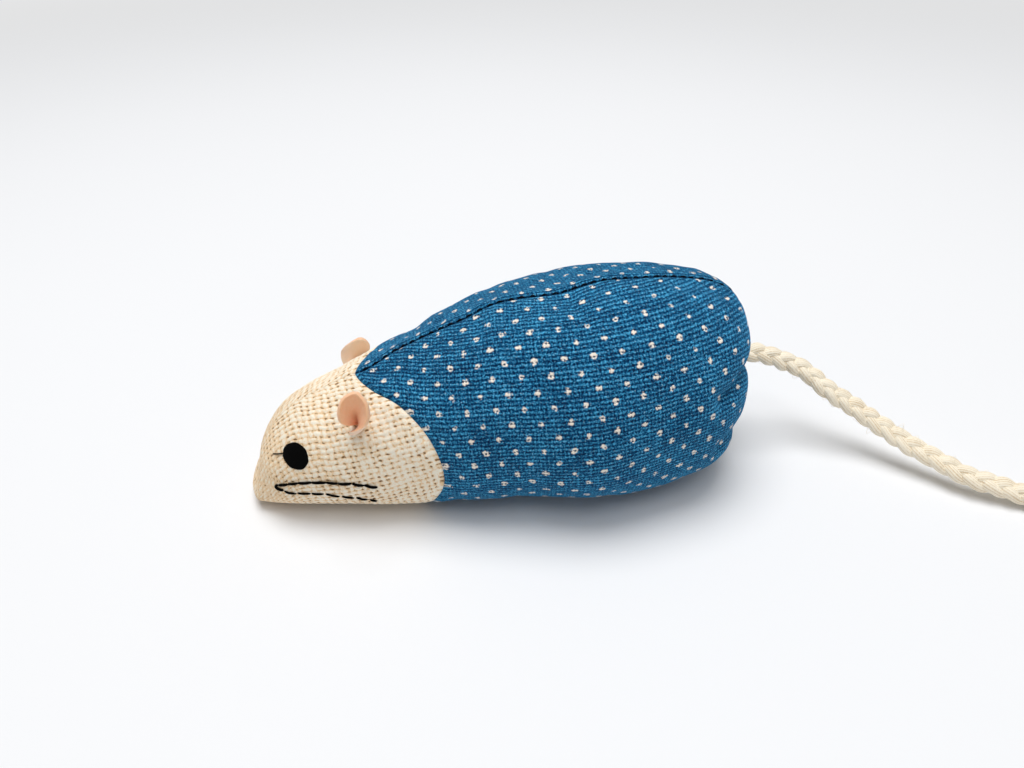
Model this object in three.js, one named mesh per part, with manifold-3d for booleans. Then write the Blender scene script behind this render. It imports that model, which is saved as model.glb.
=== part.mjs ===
// Stuffed fabric mouse toy: sewn body and head panels over a fibre filling, felt ears,
// embroidered eyes and cheek lines, and a tail of braided rope.
// Millimetres, +Z up. The nose points to -X, the tail to +X, and the mouse's left side is -Y.
// The origin is on the ground, under the middle of the body.

import * as THREE from "three";
import { mergeVertices } from "three/addons/utils/BufferGeometryUtils.js";
import Module from "manifold-3d";

// Body
const BODY_LENGTH = 117.6; // nose to rump
const BODY_HEIGHT = 48;
const BODY_WIDTH = 57.2;
const REST_FLAT_DEPTH = 0.5; // how deep the belly is pressed flat where the toy lies

// Cloth and seams
const CLOTH_THICKNESS = 0.8;
const SEAM_GAP = 0.4; // between two panels, face to face in a seam
const SEAM_ALLOWANCE = 4; // turned in along the back, belly and nose
const NECK_ALLOWANCE = 3; // turned in round the neck
const GROOVE_DEPTH = 0.9; // how deep the cloth dips to a seam
const GROOVE_REACH = 2.4; // how far from the seam the dip starts
const FILL_CLEARANCE = 0.5; // between the filling and the cloth

// Sewing thread
const THREAD_RADIUS = 0.2;
const THREAD_HIGH = 0.05; // depth of a stitch below the cloth at its middle
const THREAD_LOW = 0.3; // and where it dips into the seam
const STITCH_LENGTH = 3.2;
const THREAD_END_GAP = 1.4; // left free where two threads would meet

// Ears
const EAR_HEIGHT = 9.7;
const EAR_WIDTH = 7;
const EAR_FELT = 1;
const EAR_STAND_OFF = 0.3; // between the ear's foot and the cloth that it is tacked to

// Eyes and cheek lines
const EYE_LENGTH = 6.6;
const EYE_WIDTH = 6;
const EYE_THICKNESS = 0.7;
const TRIM_STAND_OFF = 0.3; // between embroidery and the cloth below it
const CHEEK_THREAD_RADIUS = 0.32;

// Tail
const ROPE_DIAMETER = 4.8;
const ROPE_CLEARANCE = 0.35; // between the rope and the cloth turned in round it
const COLLAR_LENGTH = 4; // of cloth turned in round the rope
const COLLAR_SETBACK = 1; // how far the turned edge lies behind the rump's face
const ROOT_STAND_OUT = 0.5; // how far the fixed end stands out of the rump's face
const ROOT_KNOT_RADIUS = 4.2;
const ROOT_KNOT_LENGTH = 7;
const ROOT_SHAFT = ROOT_STAND_OUT + COLLAR_SETBACK + COLLAR_LENGTH + FILL_CLEARANCE;
const ROOT_LENGTH = ROOT_SHAFT + ROOT_KNOT_LENGTH; // of rope inside the body
const KNOT_GAP = 0.3; // between the rope's end and its knot
const KNOT_RADIUS = 5.4;
const KNOT_LENGTH = 10.5;
const TUFT_LENGTH = 9;
const TUFT_RADIUS = 4.2;

// Form of the stuffed skin, nose to rump: shares of the length, of the height for the top line,
// of half the width, and of the height for the bottom line
const SKIN_SHARES = [
  [0, 0.077, 0, 0.0875],
  [0.007, 0.138, 0.203, 0.065],
  [0.0245, 0.271, 0.301, 0.019],
  [0.0955, 0.485, 0.462, 0.023],
  [0.206, 0.623, 0.577, 0.015],
  [0.345, 0.781, 0.699, 0],
  [0.5, 0.944, 0.839, 0],
  [0.655, 0.994, 1, 0],
  [0.794, 0.998, 0.958, 0],
  [0.9045, 0.95, 0.811, 0.04],
  [0.965, 0.904, 0.594, 0.144],
  [0.992, 0.84, 0.36, 0.267],
  [1, 0.721, 0.266, 0.344],
  [0.994, 0.571, 0.126, 0.448],
];
const WIDEST_SHARE = 0.39; // of a section's height, where it is widest
const FULLNESS_ABOVE = 2.1; // 2 is an ellipse, more is squarer
const FULLNESS_BELOW = 2.5;

// Neck seam, as shares of the way from nose to rump station, from the back down to the belly
const NECK_SHARES = [0.324, 0.341, 0.37, 0.392, 0.401, 0.393, 0.386, 0.38, 0.377];

// Cheek line: shares of the length and of the height, from the upper end round to the lower end
const CHEEK_LINE_SHARES = [
  [0.254, 0.254],
  [0.228, 0.268],
  [0.19, 0.276],
  [0.149, 0.274],
  [0.11, 0.266],
  [0.078, 0.24],
  [0.062, 0.208],
  [0.07, 0.182],
  [0.092, 0.19],
  [0.13, 0.2],
  [0.175, 0.19],
  [0.215, 0.172],
  [0.25, 0.15],
];
const EYE_PLACE_SHARES = [0.111, 0.386];

// Outline of an ear: shares of the way up and of half the width, and how far its front and its
// rear half are folded there, in degrees
const EAR_OUTLINE_SHARES = [
  [0, 0.3, 74, 102],
  [0.14, 0.52, 70, 93],
  [0.32, 0.8, 64, 74],
  [0.52, 0.98, 56, 52],
  [0.7, 0.98, 46, 38],
  [0.86, 0.76, 33, 26],
  [0.96, 0.4, 20, 18],
  [1, 0, 15, 15],
];
// Where each ear's foot is, how far it leans in degrees, and how much of the rear fold it has;
// the two are sewn on by hand and differ
const EARS = {
  left: { place: [0.237, 0.552], leanBack: 8, leanOut: 4, rearFold: 1 },
  right: { place: [0.222, 0.47], leanBack: 33, leanOut: -14, rearFold: 0.4 },
};

// Route of the free rope, from the rump to its knot
const ROPE_ROUTE = [
  [61.3, 0, 24.2],
  [65.6, -0.2, 23.6],
  [70.9, -1.2, 22.1],
  [77.2, -3.1, 19.2],
  [82.3, -7.8, 15.8],
  [87.7, -11.5, 12.5],
  [93.3, -16.8, 9.4],
  [98.3, -22.5, 7.1],
  [103.1, -27.9, 5.6],
  [107.7, -33, 4.6],
  [113, -36.7, 3.9],
  [117.6, -39.6, 3.3],
  [123, -43.2, 2.9],
  [129, -46.6, 3.2],
  [134.3, -49, 4.8],
  [139.2, -50.8, 6.05],
  [143, -51.9, 5.85],
];

const FACETS = {
  panelColumns: 17,
  headRows: 11,
  bodyRows: 22,
  fillHeadRows: 8,
  fillBodyRows: 15,
  threadSides: 5,
  neckThreadSteps: 44,
  cheekSteps: 34,
  earColumns: 9,
  eyeRings: 4,
  eyeSectors: 16,
  ropeSides: 10,
  ropeSteps: 26,
  turnedSides: 14,
};

const ROPE_RADIUS = ROPE_DIAMETER / 2;
const HALF_GAP = SEAM_GAP / 2;
const wasm = await Module();
wasm.setup();

// Solids from grids of points

function signedVolume(geometry) {
  const position = geometry.getAttribute("position");
  const corner = (k) => new THREE.Vector3().fromBufferAttribute(position, geometry.index.getX(k));
  let sum = 0;
  for (let k = 0; k < geometry.index.count; k += 3) {
    sum += corner(k).dot(corner(k + 1).cross(corner(k + 2)));
  }
  return sum;
}

function closedGeometry(points, faces) {
  const raw = new THREE.BufferGeometry().setFromPoints(points);
  raw.setIndex(faces);
  const merged = mergeVertices(raw, 1e-3);
  const kept = [];
  for (let k = 0; k < merged.index.count; k += 3) {
    const [a, b, c] = [0, 1, 2].map((n) => merged.index.getX(k + n));
    if (a !== b && b !== c && c !== a) kept.push(a, b, c);
  }
  merged.setIndex(kept);
  if (signedVolume(merged) < 0) merged.setIndex(kept.reverse());
  merged.computeVertexNormals();
  return merged;
}

// A sheet between a front and a back grid of points. A round sheet's last column meets its first.
function sheet(front, back, round = false) {
  const rows = front.length;
  const columns = front[0].length;
  const behind = rows * columns;
  const at = (row, column) => row * columns + (column % columns);
  const points = [...front.flat(), ...back.flat()];
  const faces = [];
  const quad = (a, b, c, d) => {
    const shorter = points[a].distanceTo(points[c]) <= points[b].distanceTo(points[d]) + 1e-4;
    faces.push(...(shorter ? [a, b, c, a, c, d] : [b, c, d, b, d, a]));
  };
  for (let row = 0; row < rows - 1; row++) {
    for (let column = 0; column < (round ? columns : columns - 1); column++) {
      const [a, b] = [at(row, column), at(row, column + 1)];
      const [c, d] = [at(row + 1, column + 1), at(row + 1, column)];
      quad(a, b, c, d);
      quad(behind + a, behind + d, behind + c, behind + b);
    }
  }
  const edge = (from, to) => quad(to, from, behind + from, behind + to);
  for (let column = 0; column < (round ? columns : columns - 1); column++) {
    edge(at(0, column), at(0, column + 1));
    edge(at(rows - 1, column + 1), at(rows - 1, column));
  }
  for (let row = 0; row < rows - 1 && !round; row++) {
    edge(at(row + 1, 0), at(row, 0));
    edge(at(row, columns - 1), at(row + 1, columns - 1));
  }
  return closedGeometry(points, faces);
}

// A body through closed rings of points, with an end face at the first and the last ring
function loft(rings) {
  const count = rings[0].length;
  const faces = [];
  for (let ring = 0; ring < rings.length - 1; ring++) {
    for (let k = 0; k < count; k++) {
      const next = (k + 1) % count;
      const [a, b] = [ring * count + k, ring * count + next];
      faces.push(a, b, b + count, a, b + count, a + count);
    }
  }
  const points = rings.flat();
  for (const [ring, turned] of [[0, true], [rings.length - 1, false]]) {
    const centre = new THREE.Vector3();
    rings[ring].forEach((point) => centre.addScaledVector(point, 1 / count));
    const middle = points.push(centre) - 1;
    for (let k = 0; k < count; k++) {
      const [a, b] = [ring * count + k, ring * count + ((k + 1) % count)];
      faces.push(...(turned ? [b, a, middle] : [a, b, middle]));
    }
  }
  return closedGeometry(points, faces);
}

function manifoldOf(geometry) {
  const bare = new THREE.BufferGeometry().setAttribute("position", geometry.getAttribute("position"));
  bare.setIndex(geometry.index);
  const merged = mergeVertices(bare, 1e-3);
  return new wasm.Manifold(
    new wasm.Mesh({
      numProp: 3,
      vertProperties: merged.getAttribute("position").array,
      triVerts: new Uint32Array(merged.index.array),
    }),
  );
}

function joined(one, other) {
  const mesh = manifoldOf(one).add(manifoldOf(other)).getMesh();
  const geometry = new THREE.BufferGeometry();
  geometry.setAttribute("position", new THREE.BufferAttribute(mesh.vertProperties, 3));
  geometry.setIndex(new THREE.BufferAttribute(mesh.triVerts, 1));
  geometry.computeVertexNormals();
  return geometry;
}

// The stuffed skin, worked out for the right half and mirrored for the left

const outline = (column, scale, lift = 0) =>
  new THREE.SplineCurve(
    SKIN_SHARES.map((row) => new THREE.Vector2(row[0] * BODY_LENGTH, row[column] * scale - lift)),
  );
const topLine = outline(1, BODY_HEIGHT);
const planLine = outline(2, BODY_WIDTH / 2);
const bottomLine = outline(3, BODY_HEIGHT, REST_FLAT_DEPTH);
const NOSE_TO_MIDDLE = BODY_LENGTH / 2;

function section(station) {
  const share = THREE.MathUtils.clamp(station, 0, 1);
  const top = topLine.getPoint(share);
  const bottom = bottomLine.getPoint(share).y;
  return { x: top.x - NOSE_TO_MIDDLE, top: top.y, bottom, half: Math.max(planLine.getPoint(share).y, 0) };
}

// turn runs from 1 on the back seam, over the flank, to -1 on the belly seam
function skinPoint(station, turn) {
  const { x, top, bottom, half } = section(station);
  const angle = (turn * Math.PI) / 2;
  const power = 2 / (turn >= 0 ? FULLNESS_ABOVE : FULLNESS_BELOW);
  const middle = bottom + (top - bottom) * WIDEST_SHARE;
  const reach = turn >= 0 ? top - middle : middle - bottom;
  const y = HALF_GAP + half * Math.cos(angle) ** power;
  const z = middle + Math.sign(turn) * reach * Math.abs(Math.sin(angle)) ** power;
  return new THREE.Vector3(x, y, Math.max(z, 0));
}

function skinNormal(station, turn) {
  const step = 1e-3;
  const before = Math.max(station - step, 0);
  const after = Math.min(station + step, 1);
  const along = skinPoint(after, turn).sub(skinPoint(before, turn));
  const up = skinPoint(station, Math.min(turn + step, 1)).sub(skinPoint(station, Math.max(turn - step, -1)));
  return up.cross(along).normalize();
}

// The skin's point at a place seen from the side
function flankPoint(x, z) {
  let [low, high] = [0, 1 - 1 / SKIN_SHARES.length];
  for (let n = 0; n < 40; n++) {
    const station = (low + high) / 2;
    if (section(station).x < x) low = station;
    else high = station;
  }
  const { top, bottom } = section(low);
  const middle = bottom + (top - bottom) * WIDEST_SHARE;
  const above = z >= middle;
  const part = Math.min(Math.abs(z - middle) / (above ? top - middle : middle - bottom), 1);
  const turn = (Math.asin(part ** ((above ? FULLNESS_ABOVE : FULLNESS_BELOW) / 2)) * 2) / Math.PI;
  return { station: low, turn: above ? turn : -turn };
}

const placeOf = ([lengthShare, heightShare]) =>
  flankPoint(lengthShare * BODY_LENGTH - NOSE_TO_MIDDLE, heightShare * BODY_HEIGHT);

const neckLine = new THREE.SplineCurve(NECK_SHARES.map((share, k) => new THREE.Vector2(k, share)));
const neckStation = (turn) => neckLine.getPoint((1 - turn) / 2).y;

// The station that lies a distance behind the neck seam, measured along the skin
function behindNeck(distance) {
  return (turn) => {
    const station = neckStation(turn);
    const step = 1e-3;
    const span = skinPoint(station + step, turn).distanceTo(skinPoint(station - step, turn));
    return station + (distance * 2 * step) / span;
  };
}

// Unit direction in the skin that points across the neck seam towards the tail
function acrossNeck(turn) {
  const step = 1e-2;
  const [above, below] = [Math.min(turn + step, 1), Math.max(turn - step, -1)];
  const seam = skinPoint(neckStation(above), above).sub(skinPoint(neckStation(below), below));
  return skinNormal(neckStation(turn), turn).cross(seam).normalize();
}

// Dip towards the back and belly seams
function grooveDepth(point) {
  const away = Math.min((point.y - HALF_GAP) / GROOVE_REACH, 1);
  return GROOVE_DEPTH * (1 - away) ** 2;
}

// Turned-in cloth along the long seam, which narrows to nothing at the nose, neck and tail
const LIP_SHARE = 0.12; // of the section's height at most
const TAIL_TAPER_START = 0.9;
function lipDepth(station) {
  const { top, bottom } = section(station);
  const taper = THREE.MathUtils.clamp((1 - station) / (1 - TAIL_TAPER_START), 0, 1);
  return Math.min(SEAM_ALLOWANCE, (top - bottom) * LIP_SHARE) * taper;
}

const TURNS = Array.from({ length: FACETS.panelColumns }, (_, k) =>
  Math.cos((Math.PI * k) / (FACETS.panelColumns - 1)),
);

// One row of a panel: its outer and inner points from the edge of the back seam's allowance,
// over the flank, to the edge of the belly seam's allowance
function panelRow({ stationAt, side = 0, dip = 0, lip = true, turnedIn = 0 }) {
  const outer = [];
  const inner = [];
  TURNS.forEach((turn) => {
    const station = stationAt(turn);
    const point = skinPoint(station, turn);
    const atNose = station === 0;
    const normal = atNose ? new THREE.Vector3(-1, 0, 0) : skinNormal(station, turn);
    const groove = Math.max(grooveDepth(point), dip);
    const front = point.clone().addScaledVector(normal, -groove - turnedIn);
    const back = turnedIn ? front.clone() : front.clone().addScaledVector(normal, -CLOTH_THICKNESS);
    if (side) {
      const across = acrossNeck(turn);
      front.addScaledVector(across, side * HALF_GAP);
      back.addScaledVector(across, side * (HALF_GAP + CLOTH_THICKNESS));
    }
    front.y = Math.max(front.y, HALF_GAP);
    back.y = Math.max(back.y, HALF_GAP + CLOTH_THICKNESS);
    outer.push(front);
    inner.push(back);
  });
  for (const [turn, end] of [[1, 0], [-1, TURNS.length - 1]]) {
    const station = stationAt(turn);
    const depth = lip ? lipDepth(station) : 0;
    const normal = skinNormal(station, turn);
    const front = outer[end].clone().addScaledVector(normal, -depth).setY(HALF_GAP);
    const back = depth ? front.clone() : inner[end].clone();
    if (depth && depth < CLOTH_THICKNESS) back.addScaledVector(normal, depth - CLOTH_THICKNESS);
    back.y = HALF_GAP + CLOTH_THICKNESS;
    if (end) {
      outer.push(front);
      inner.push(back);
    } else {
      outer.unshift(front);
      inner.unshift(back);
    }
  }
  return { outer, inner };
}

const panel = (rows) => sheet(rows.map((row) => row.outer), rows.map((row) => row.inner));
const steps = (count) => Array.from({ length: count }, (_, k) => (k + 1) / (count + 1));
const NECK_DIP_SHARE = 0.3; // of the groove's depth, half its reach away from the neck seam

function headPanel() {
  const neck = (turn) => neckStation(turn);
  const rows = [panelRow({ stationAt: () => 0, lip: false })];
  for (const share of steps(FACETS.headRows)) {
    rows.push(panelRow({ stationAt: (turn) => share * neck(turn) }));
  }
  rows.push(panelRow({ stationAt: behindNeck(-GROOVE_REACH / 2), dip: GROOVE_DEPTH * NECK_DIP_SHARE }));
  const edge = { stationAt: neck, side: -1, dip: GROOVE_DEPTH, lip: false };
  rows.push(panelRow(edge));
  rows.push(panelRow({ ...edge, turnedIn: NECK_ALLOWANCE }));
  return panel(rows);
}

const RUMP_X = section(1).x; // of the rump's face round the tail
const TAIL_Z = (section(1).top + section(1).bottom) / 2;
const HOLE_RADIUS = ROPE_RADIUS + ROPE_CLEARANCE;
const MOUTH_X = RUMP_X - COLLAR_SETBACK;

// A ring round the tail rope, in the same columns as a panel's row
function tailRing(x, radius, thickness) {
  const ring = (size, floor) => {
    const points = TURNS.map((turn) => {
      const angle = (turn * Math.PI) / 2;
      const y = HALF_GAP + size * Math.cos(angle);
      return new THREE.Vector3(x, Math.max(y, floor), TAIL_Z + size * Math.sin(angle));
    });
    return [points[0].clone(), ...points, points.at(-1).clone()];
  };
  return { outer: ring(radius, HALF_GAP), inner: ring(radius + thickness, HALF_GAP + thickness) };
}

function bodyPanel() {
  const edge = { stationAt: neckStation, side: 1, dip: GROOVE_DEPTH, lip: false };
  const rows = [panelRow({ ...edge, turnedIn: NECK_ALLOWANCE }), panelRow(edge)];
  const between = (share) => (turn) => THREE.MathUtils.lerp(neckStation(turn), 1, share);
  rows.push(panelRow({ stationAt: behindNeck(GROOVE_REACH / 2), dip: GROOVE_DEPTH * NECK_DIP_SHARE }));
  for (const share of steps(FACETS.bodyRows)) {
    rows.push(panelRow({ stationAt: between(share) }));
  }
  rows.push(panelRow({ stationAt: () => 1, lip: false }));
  rows.push(tailRing(MOUTH_X, HOLE_RADIUS, CLOTH_THICKNESS));
  rows.push(tailRing(MOUTH_X - COLLAR_LENGTH, HOLE_RADIUS, CLOTH_THICKNESS));
  return panel(rows);
}

// Filling: one mass from the nose to the rump, with slots for the turned-in cloth

const SLOT_HALF = HALF_GAP + CLOTH_THICKNESS + FILL_CLEARANCE;
const FILL_INSET = CLOTH_THICKNESS + FILL_CLEARANCE;

function fillRow({ stationAt, shift = 0, inset = FILL_INSET, dip = 0, extra = 0 }) {
  const half = TURNS.map((turn) => {
    const station = stationAt(turn);
    const point = skinPoint(station, turn);
    const groove = Math.max(grooveDepth(point), dip);
    point.addScaledVector(skinNormal(station, turn), -groove - inset);
    if (shift) point.addScaledVector(acrossNeck(turn), shift);
    point.y = Math.max(point.y, SLOT_HALF);
    return point;
  });
  for (const [turn, end] of [[1, 0], [-1, TURNS.length - 1]]) {
    const station = stationAt(turn);
    const depth = GROOVE_DEPTH + Math.max(lipDepth(station), inset) + FILL_CLEARANCE + extra;
    const floor = skinPoint(station, turn).addScaledVector(skinNormal(station, turn), -depth);
    if (shift) floor.addScaledVector(acrossNeck(turn), shift);
    floor.y = SLOT_HALF;
    if (end) half.push(floor);
    else half.unshift(floor);
  }
  return half;
}

const wholeRing = (half) => [...half, ...half.map((p) => new THREE.Vector3(p.x, -p.y, p.z)).reverse()];

function fillTailRow(x, radius) {
  return tailRing(x, radius, 0).outer.map((p) => p.setY(Math.max(p.y, SLOT_HALF)));
}

function stuffing() {
  const NOSE_START_SHARE = 0.6;
  const REAR_END_SHARE = 0.86;
  const WALL = HALF_GAP + CLOTH_THICKNESS + FILL_CLEARANCE;
  const rows = [];
  for (let k = 0; k < FACETS.fillHeadRows; k++) {
    const share = THREE.MathUtils.lerp(NOSE_START_SHARE, 0.93, k / (FACETS.fillHeadRows - 1));
    rows.push(fillRow({ stationAt: (turn) => share * neckStation(turn) }));
  }
  const deep = GROOVE_DEPTH + NECK_ALLOWANCE + FILL_CLEARANCE;
  for (const side of [-1, 1]) {
    const mouthStation = behindNeck(side * (WALL + FILL_CLEARANCE));
    const mouth = fillRow({ stationAt: mouthStation, dip: GROOVE_DEPTH, extra: FILL_CLEARANCE });
    const floor = fillRow({ stationAt: neckStation, shift: side * WALL, inset: deep, extra: 2 * FILL_CLEARANCE });
    rows.push(...(side < 0 ? [mouth, floor] : [floor, mouth]));
  }
  for (let k = 0; k < FACETS.fillBodyRows; k++) {
    const share = THREE.MathUtils.lerp(0.05, REAR_END_SHARE, k / (FACETS.fillBodyRows - 1));
    rows.push(fillRow({ stationAt: (turn) => THREE.MathUtils.lerp(neckStation(turn), 1, share) }));
  }
  const collar = HOLE_RADIUS + CLOTH_THICKNESS + FILL_CLEARANCE;
  const collarEnd = MOUTH_X - COLLAR_LENGTH - FILL_CLEARANCE;
  const rootEnd = RUMP_X + ROOT_STAND_OUT - ROOT_LENGTH - FILL_CLEARANCE;
  rows.push(fillTailRow(RUMP_X - GROOVE_DEPTH - CLOTH_THICKNESS - FILL_CLEARANCE, collar));
  rows.push(fillTailRow(collarEnd, collar));
  const knotRoom = ROOT_KNOT_RADIUS + FILL_CLEARANCE;
  rows.push(fillTailRow(collarEnd - FILL_CLEARANCE, knotRoom));
  rows.push(fillTailRow(rootEnd, knotRoom));
  return loft(rows.map(wholeRing));
}

// Seam thread: a tube that rises in each stitch and dips between stitches

function threadTube(points, radius, tubeSteps, sides = FACETS.threadSides) {
  const ring = new THREE.Shape(
    Array.from({ length: sides }, (_, k) => {
      const angle = (2 * Math.PI * k) / sides;
      return new THREE.Vector2(radius * Math.cos(angle), radius * Math.sin(angle));
    }),
  );
  const path = new THREE.CatmullRomCurve3(points);
  const tube = new THREE.ExtrudeGeometry(ring, { steps: tubeSteps, bevelEnabled: false, extrudePath: path });
  tube.deleteAttribute("normal");
  tube.deleteAttribute("uv");
  const merged = mergeVertices(tube, 1e-3);
  merged.computeVertexNormals();
  return merged;
}

// line is the seam's course in the middle plane, with the outside of the body on its left
function seamThread(line) {
  const course = new THREE.CatmullRomCurve3(line);
  const length = course.getLength();
  const stitches = Math.max(Math.round((length - 2 * THREAD_END_GAP) / STITCH_LENGTH), 1);
  const start = THREAD_END_GAP / length;
  const points = [];
  for (let k = 0; k <= 2 * stitches; k++) {
    const share = THREE.MathUtils.lerp(start, 1 - start, k / (2 * stitches));
    const tangent = course.getTangentAt(share);
    const outward = new THREE.Vector3(-tangent.z, 0, tangent.x);
    points.push(course.getPointAt(share).addScaledVector(outward, k % 2 ? -THREAD_HIGH : -THREAD_LOW));
    points.at(-1).z = Math.max(points.at(-1).z, THREAD_RADIUS + THREAD_HIGH);
  }
  return threadTube(points, THREAD_RADIUS, 2 * stitches);
}

function seamLine(turn, from, to, count) {
  return Array.from({ length: count }, (_, k) =>
    skinPoint(THREE.MathUtils.lerp(from, to, k / (count - 1)), turn).setY(0),
  );
}

const backSeamThread = () => seamThread(seamLine(1, neckStation(1), 1, 40));
const bellySeamThread = () => seamThread(seamLine(-1, 1, neckStation(-1), 40));
const headSeamThread = () =>
  seamThread([...seamLine(-1, neckStation(-1), 0, 24), ...seamLine(1, 0, neckStation(1), 24).slice(1)]);

function neckSeamThread() {
  const side = (sign) =>
    TURNS.map((turn) => {
      const station = neckStation(turn);
      const point = skinPoint(station, turn).addScaledVector(skinNormal(station, turn), -THREAD_LOW);
      point.z = Math.max(point.z, THREAD_RADIUS + THREAD_HIGH);
      return point.setY(sign * Math.max(point.y - HALF_GAP, 0));
    });
  const right = side(1).slice(1, -1);
  const left = side(-1).slice(1, -1).reverse();
  const top = skinPoint(neckStation(1), 1).setY(0);
  top.z -= THREAD_LOW;
  return threadTube([...right.reverse(), top, ...left.reverse()], THREAD_RADIUS, FACETS.neckThreadSteps);
}

// Embroidery that lies on the cloth

function cheekStitch() {
  const points = CHEEK_LINE_SHARES.map((share) => {
    const { station, turn } = placeOf(share);
    const lift = TRIM_STAND_OFF + CHEEK_THREAD_RADIUS;
    return skinPoint(station, turn).addScaledVector(skinNormal(station, turn), lift);
  });
  return threadTube(points, CHEEK_THREAD_RADIUS, FACETS.cheekSteps);
}

function eye() {
  const { station, turn } = placeOf(EYE_PLACE_SHARES);
  const centre = skinPoint(station, turn);
  const normal = skinNormal(station, turn);
  const across = new THREE.Vector3(0, 0, 1).cross(normal).normalize();
  const up = normal.clone().cross(across);
  const TILT = THREE.MathUtils.degToRad(-35);
  const front = [];
  const back = [];
  for (let ring = 0; ring <= FACETS.eyeRings; ring++) {
    const share = ring / FACETS.eyeRings;
    const rise = EYE_THICKNESS * Math.sqrt(1 - 0.75 * share ** 2);
    const points = Array.from({ length: FACETS.eyeSectors }, (_, k) => {
      const angle = (2 * Math.PI * k) / FACETS.eyeSectors;
      const long = (EYE_LENGTH / 2) * share * Math.cos(angle);
      const wide = (EYE_WIDTH / 2) * share * Math.sin(angle);
      const spot = centre
        .clone()
        .addScaledVector(across, long * Math.cos(TILT) - wide * Math.sin(TILT))
        .addScaledVector(up, long * Math.sin(TILT) + wide * Math.cos(TILT));
      return flankPoint(spot.x, spot.z);
    });
    const lifted = (height) =>
      points.map((at) =>
        skinPoint(at.station, at.turn).addScaledVector(skinNormal(at.station, at.turn), height),
      );
    front.push(lifted(TRIM_STAND_OFF + rise));
    back.push(lifted(TRIM_STAND_OFF));
  }
  return sheet(front, back, true);
}

// A felt petal whose foot is folded together and tacked to the head
function ear({ place, leanBack, leanOut, rearFold }) {
  const { station, turn } = placeOf(place);
  const normal = skinNormal(station, turn);
  const foot = skinPoint(station, turn).addScaledVector(normal, EAR_STAND_OFF);
  const [slopeBack, slopeOut] = [leanBack, leanOut].map((lean) => Math.tan(THREE.MathUtils.degToRad(lean)));
  const tipWay = new THREE.Vector3(slopeBack, slopeOut, 1).normalize();
  const knee = foot.clone().addScaledVector(normal, EAR_HEIGHT * 0.25);
  const tip = knee.clone().addScaledVector(tipWay, EAR_HEIGHT * 0.8);
  const spine = new THREE.QuadraticBezierCurve3(foot, knee, tip);
  const facing = new THREE.Vector3(-0.3, 0.95, 0);
  const front = [];
  const back = [];
  for (const [upShare, wideShare, frontFold, wholeRearFold] of EAR_OUTLINE_SHARES) {
    const tangent = spine.getTangent(upShare);
    const across = tangent.clone().cross(facing).normalize();
    const hollow = across.clone().cross(tangent).normalize();
    const half = (EAR_WIDTH / 2) * wideShare;
    const rowFront = [];
    const rowBack = [];
    for (let k = 0; k < FACETS.earColumns; k++) {
      const share = (2 * k) / (FACETS.earColumns - 1) - 1; // 1 is the front edge
      const fold = THREE.MathUtils.degToRad(share > 0 ? frontFold : wholeRearFold * rearFold);
      const forward = half * Math.sin(fold) * Math.abs(share) ** 1.5;
      const sideways = half * Math.cos(fold) * share + Math.sign(share) * EAR_FELT * 0.5 * Math.sin(fold);
      const middle = spine.getPoint(upShare).addScaledVector(across, sideways).addScaledVector(hollow, forward);
      const outward = across
        .clone()
        .multiplyScalar(Math.sign(share) * Math.sin(fold))
        .addScaledVector(hollow, -Math.cos(fold));
      if (share === 0) outward.copy(hollow).negate();
      rowFront.push(middle.clone());
      rowBack.push(middle.clone().addScaledVector(outward, EAR_FELT));
    }
    front.push(rowFront);
    back.push(rowBack);
  }
  return sheet(front, back);
}

// Tail

function turnedSolid(profile) {
  return new THREE.LatheGeometry(
    profile.map(([radius, along]) => new THREE.Vector2(radius, along)),
    FACETS.turnedSides,
  );
}

function tailRoot() {
  const profile = [
    [0, 0],
    [ROPE_RADIUS, 0],
    [ROPE_RADIUS, ROOT_SHAFT],
    [ROOT_KNOT_RADIUS * 0.9, ROOT_SHAFT + ROOT_KNOT_LENGTH * 0.15],
    [ROOT_KNOT_RADIUS, ROOT_SHAFT + ROOT_KNOT_LENGTH * 0.45],
    [ROOT_KNOT_RADIUS * 0.86, ROOT_SHAFT + ROOT_KNOT_LENGTH * 0.75],
    [ROPE_RADIUS, ROOT_LENGTH],
    [0, ROOT_LENGTH],
  ];
  return turnedSolid(profile);
}

function tailRope() {
  const points = ROPE_ROUTE.map((p) => new THREE.Vector3(...p));
  const tube = threadTube(points, ROPE_RADIUS, FACETS.ropeSteps, FACETS.ropeSides);
  const ball = new THREE.SphereGeometry(ROPE_RADIUS, FACETS.ropeSides, FACETS.ropeSides / 2);
  ball.deleteAttribute("normal");
  ball.deleteAttribute("uv");
  ball.translate(...ROPE_ROUTE[0]);
  return joined(tube, ball);
}

// The rope's far end: an overhand knot's outer form and the loose tuft behind it
function tailKnot() {
  const waist = ROPE_RADIUS * 1.05;
  const end = KNOT_LENGTH + TUFT_LENGTH;
  return turnedSolid([
    [0, 0],
    [ROPE_RADIUS, 0],
    [KNOT_RADIUS * 0.86, KNOT_LENGTH * 0.16],
    [KNOT_RADIUS, KNOT_LENGTH * 0.4],
    [KNOT_RADIUS * 0.97, KNOT_LENGTH * 0.62],
    [KNOT_RADIUS * 0.78, KNOT_LENGTH * 0.86],
    [waist, KNOT_LENGTH],
    [TUFT_RADIUS * 0.82, KNOT_LENGTH + TUFT_LENGTH * 0.4],
    [TUFT_RADIUS, end - TUFT_LENGTH * 0.12],
    [TUFT_RADIUS * 0.8, end],
    [0, end],
  ]);
}

// Materials

const finish = (color, roughness) => new THREE.MeshStandardMaterial({ color, roughness, metalness: 0 });
const BLUE_CLOTH = 0x25587a;
const CREAM_CLOTH = 0xd6be9e;
const FELT = 0xe8b38b;
const BLACK_THREAD = 0x15130f;
const NAVY_THREAD = 0x101a26;
const ROPE = 0xebd9ba;
const FIBRE = 0xf4f4f0;

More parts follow.
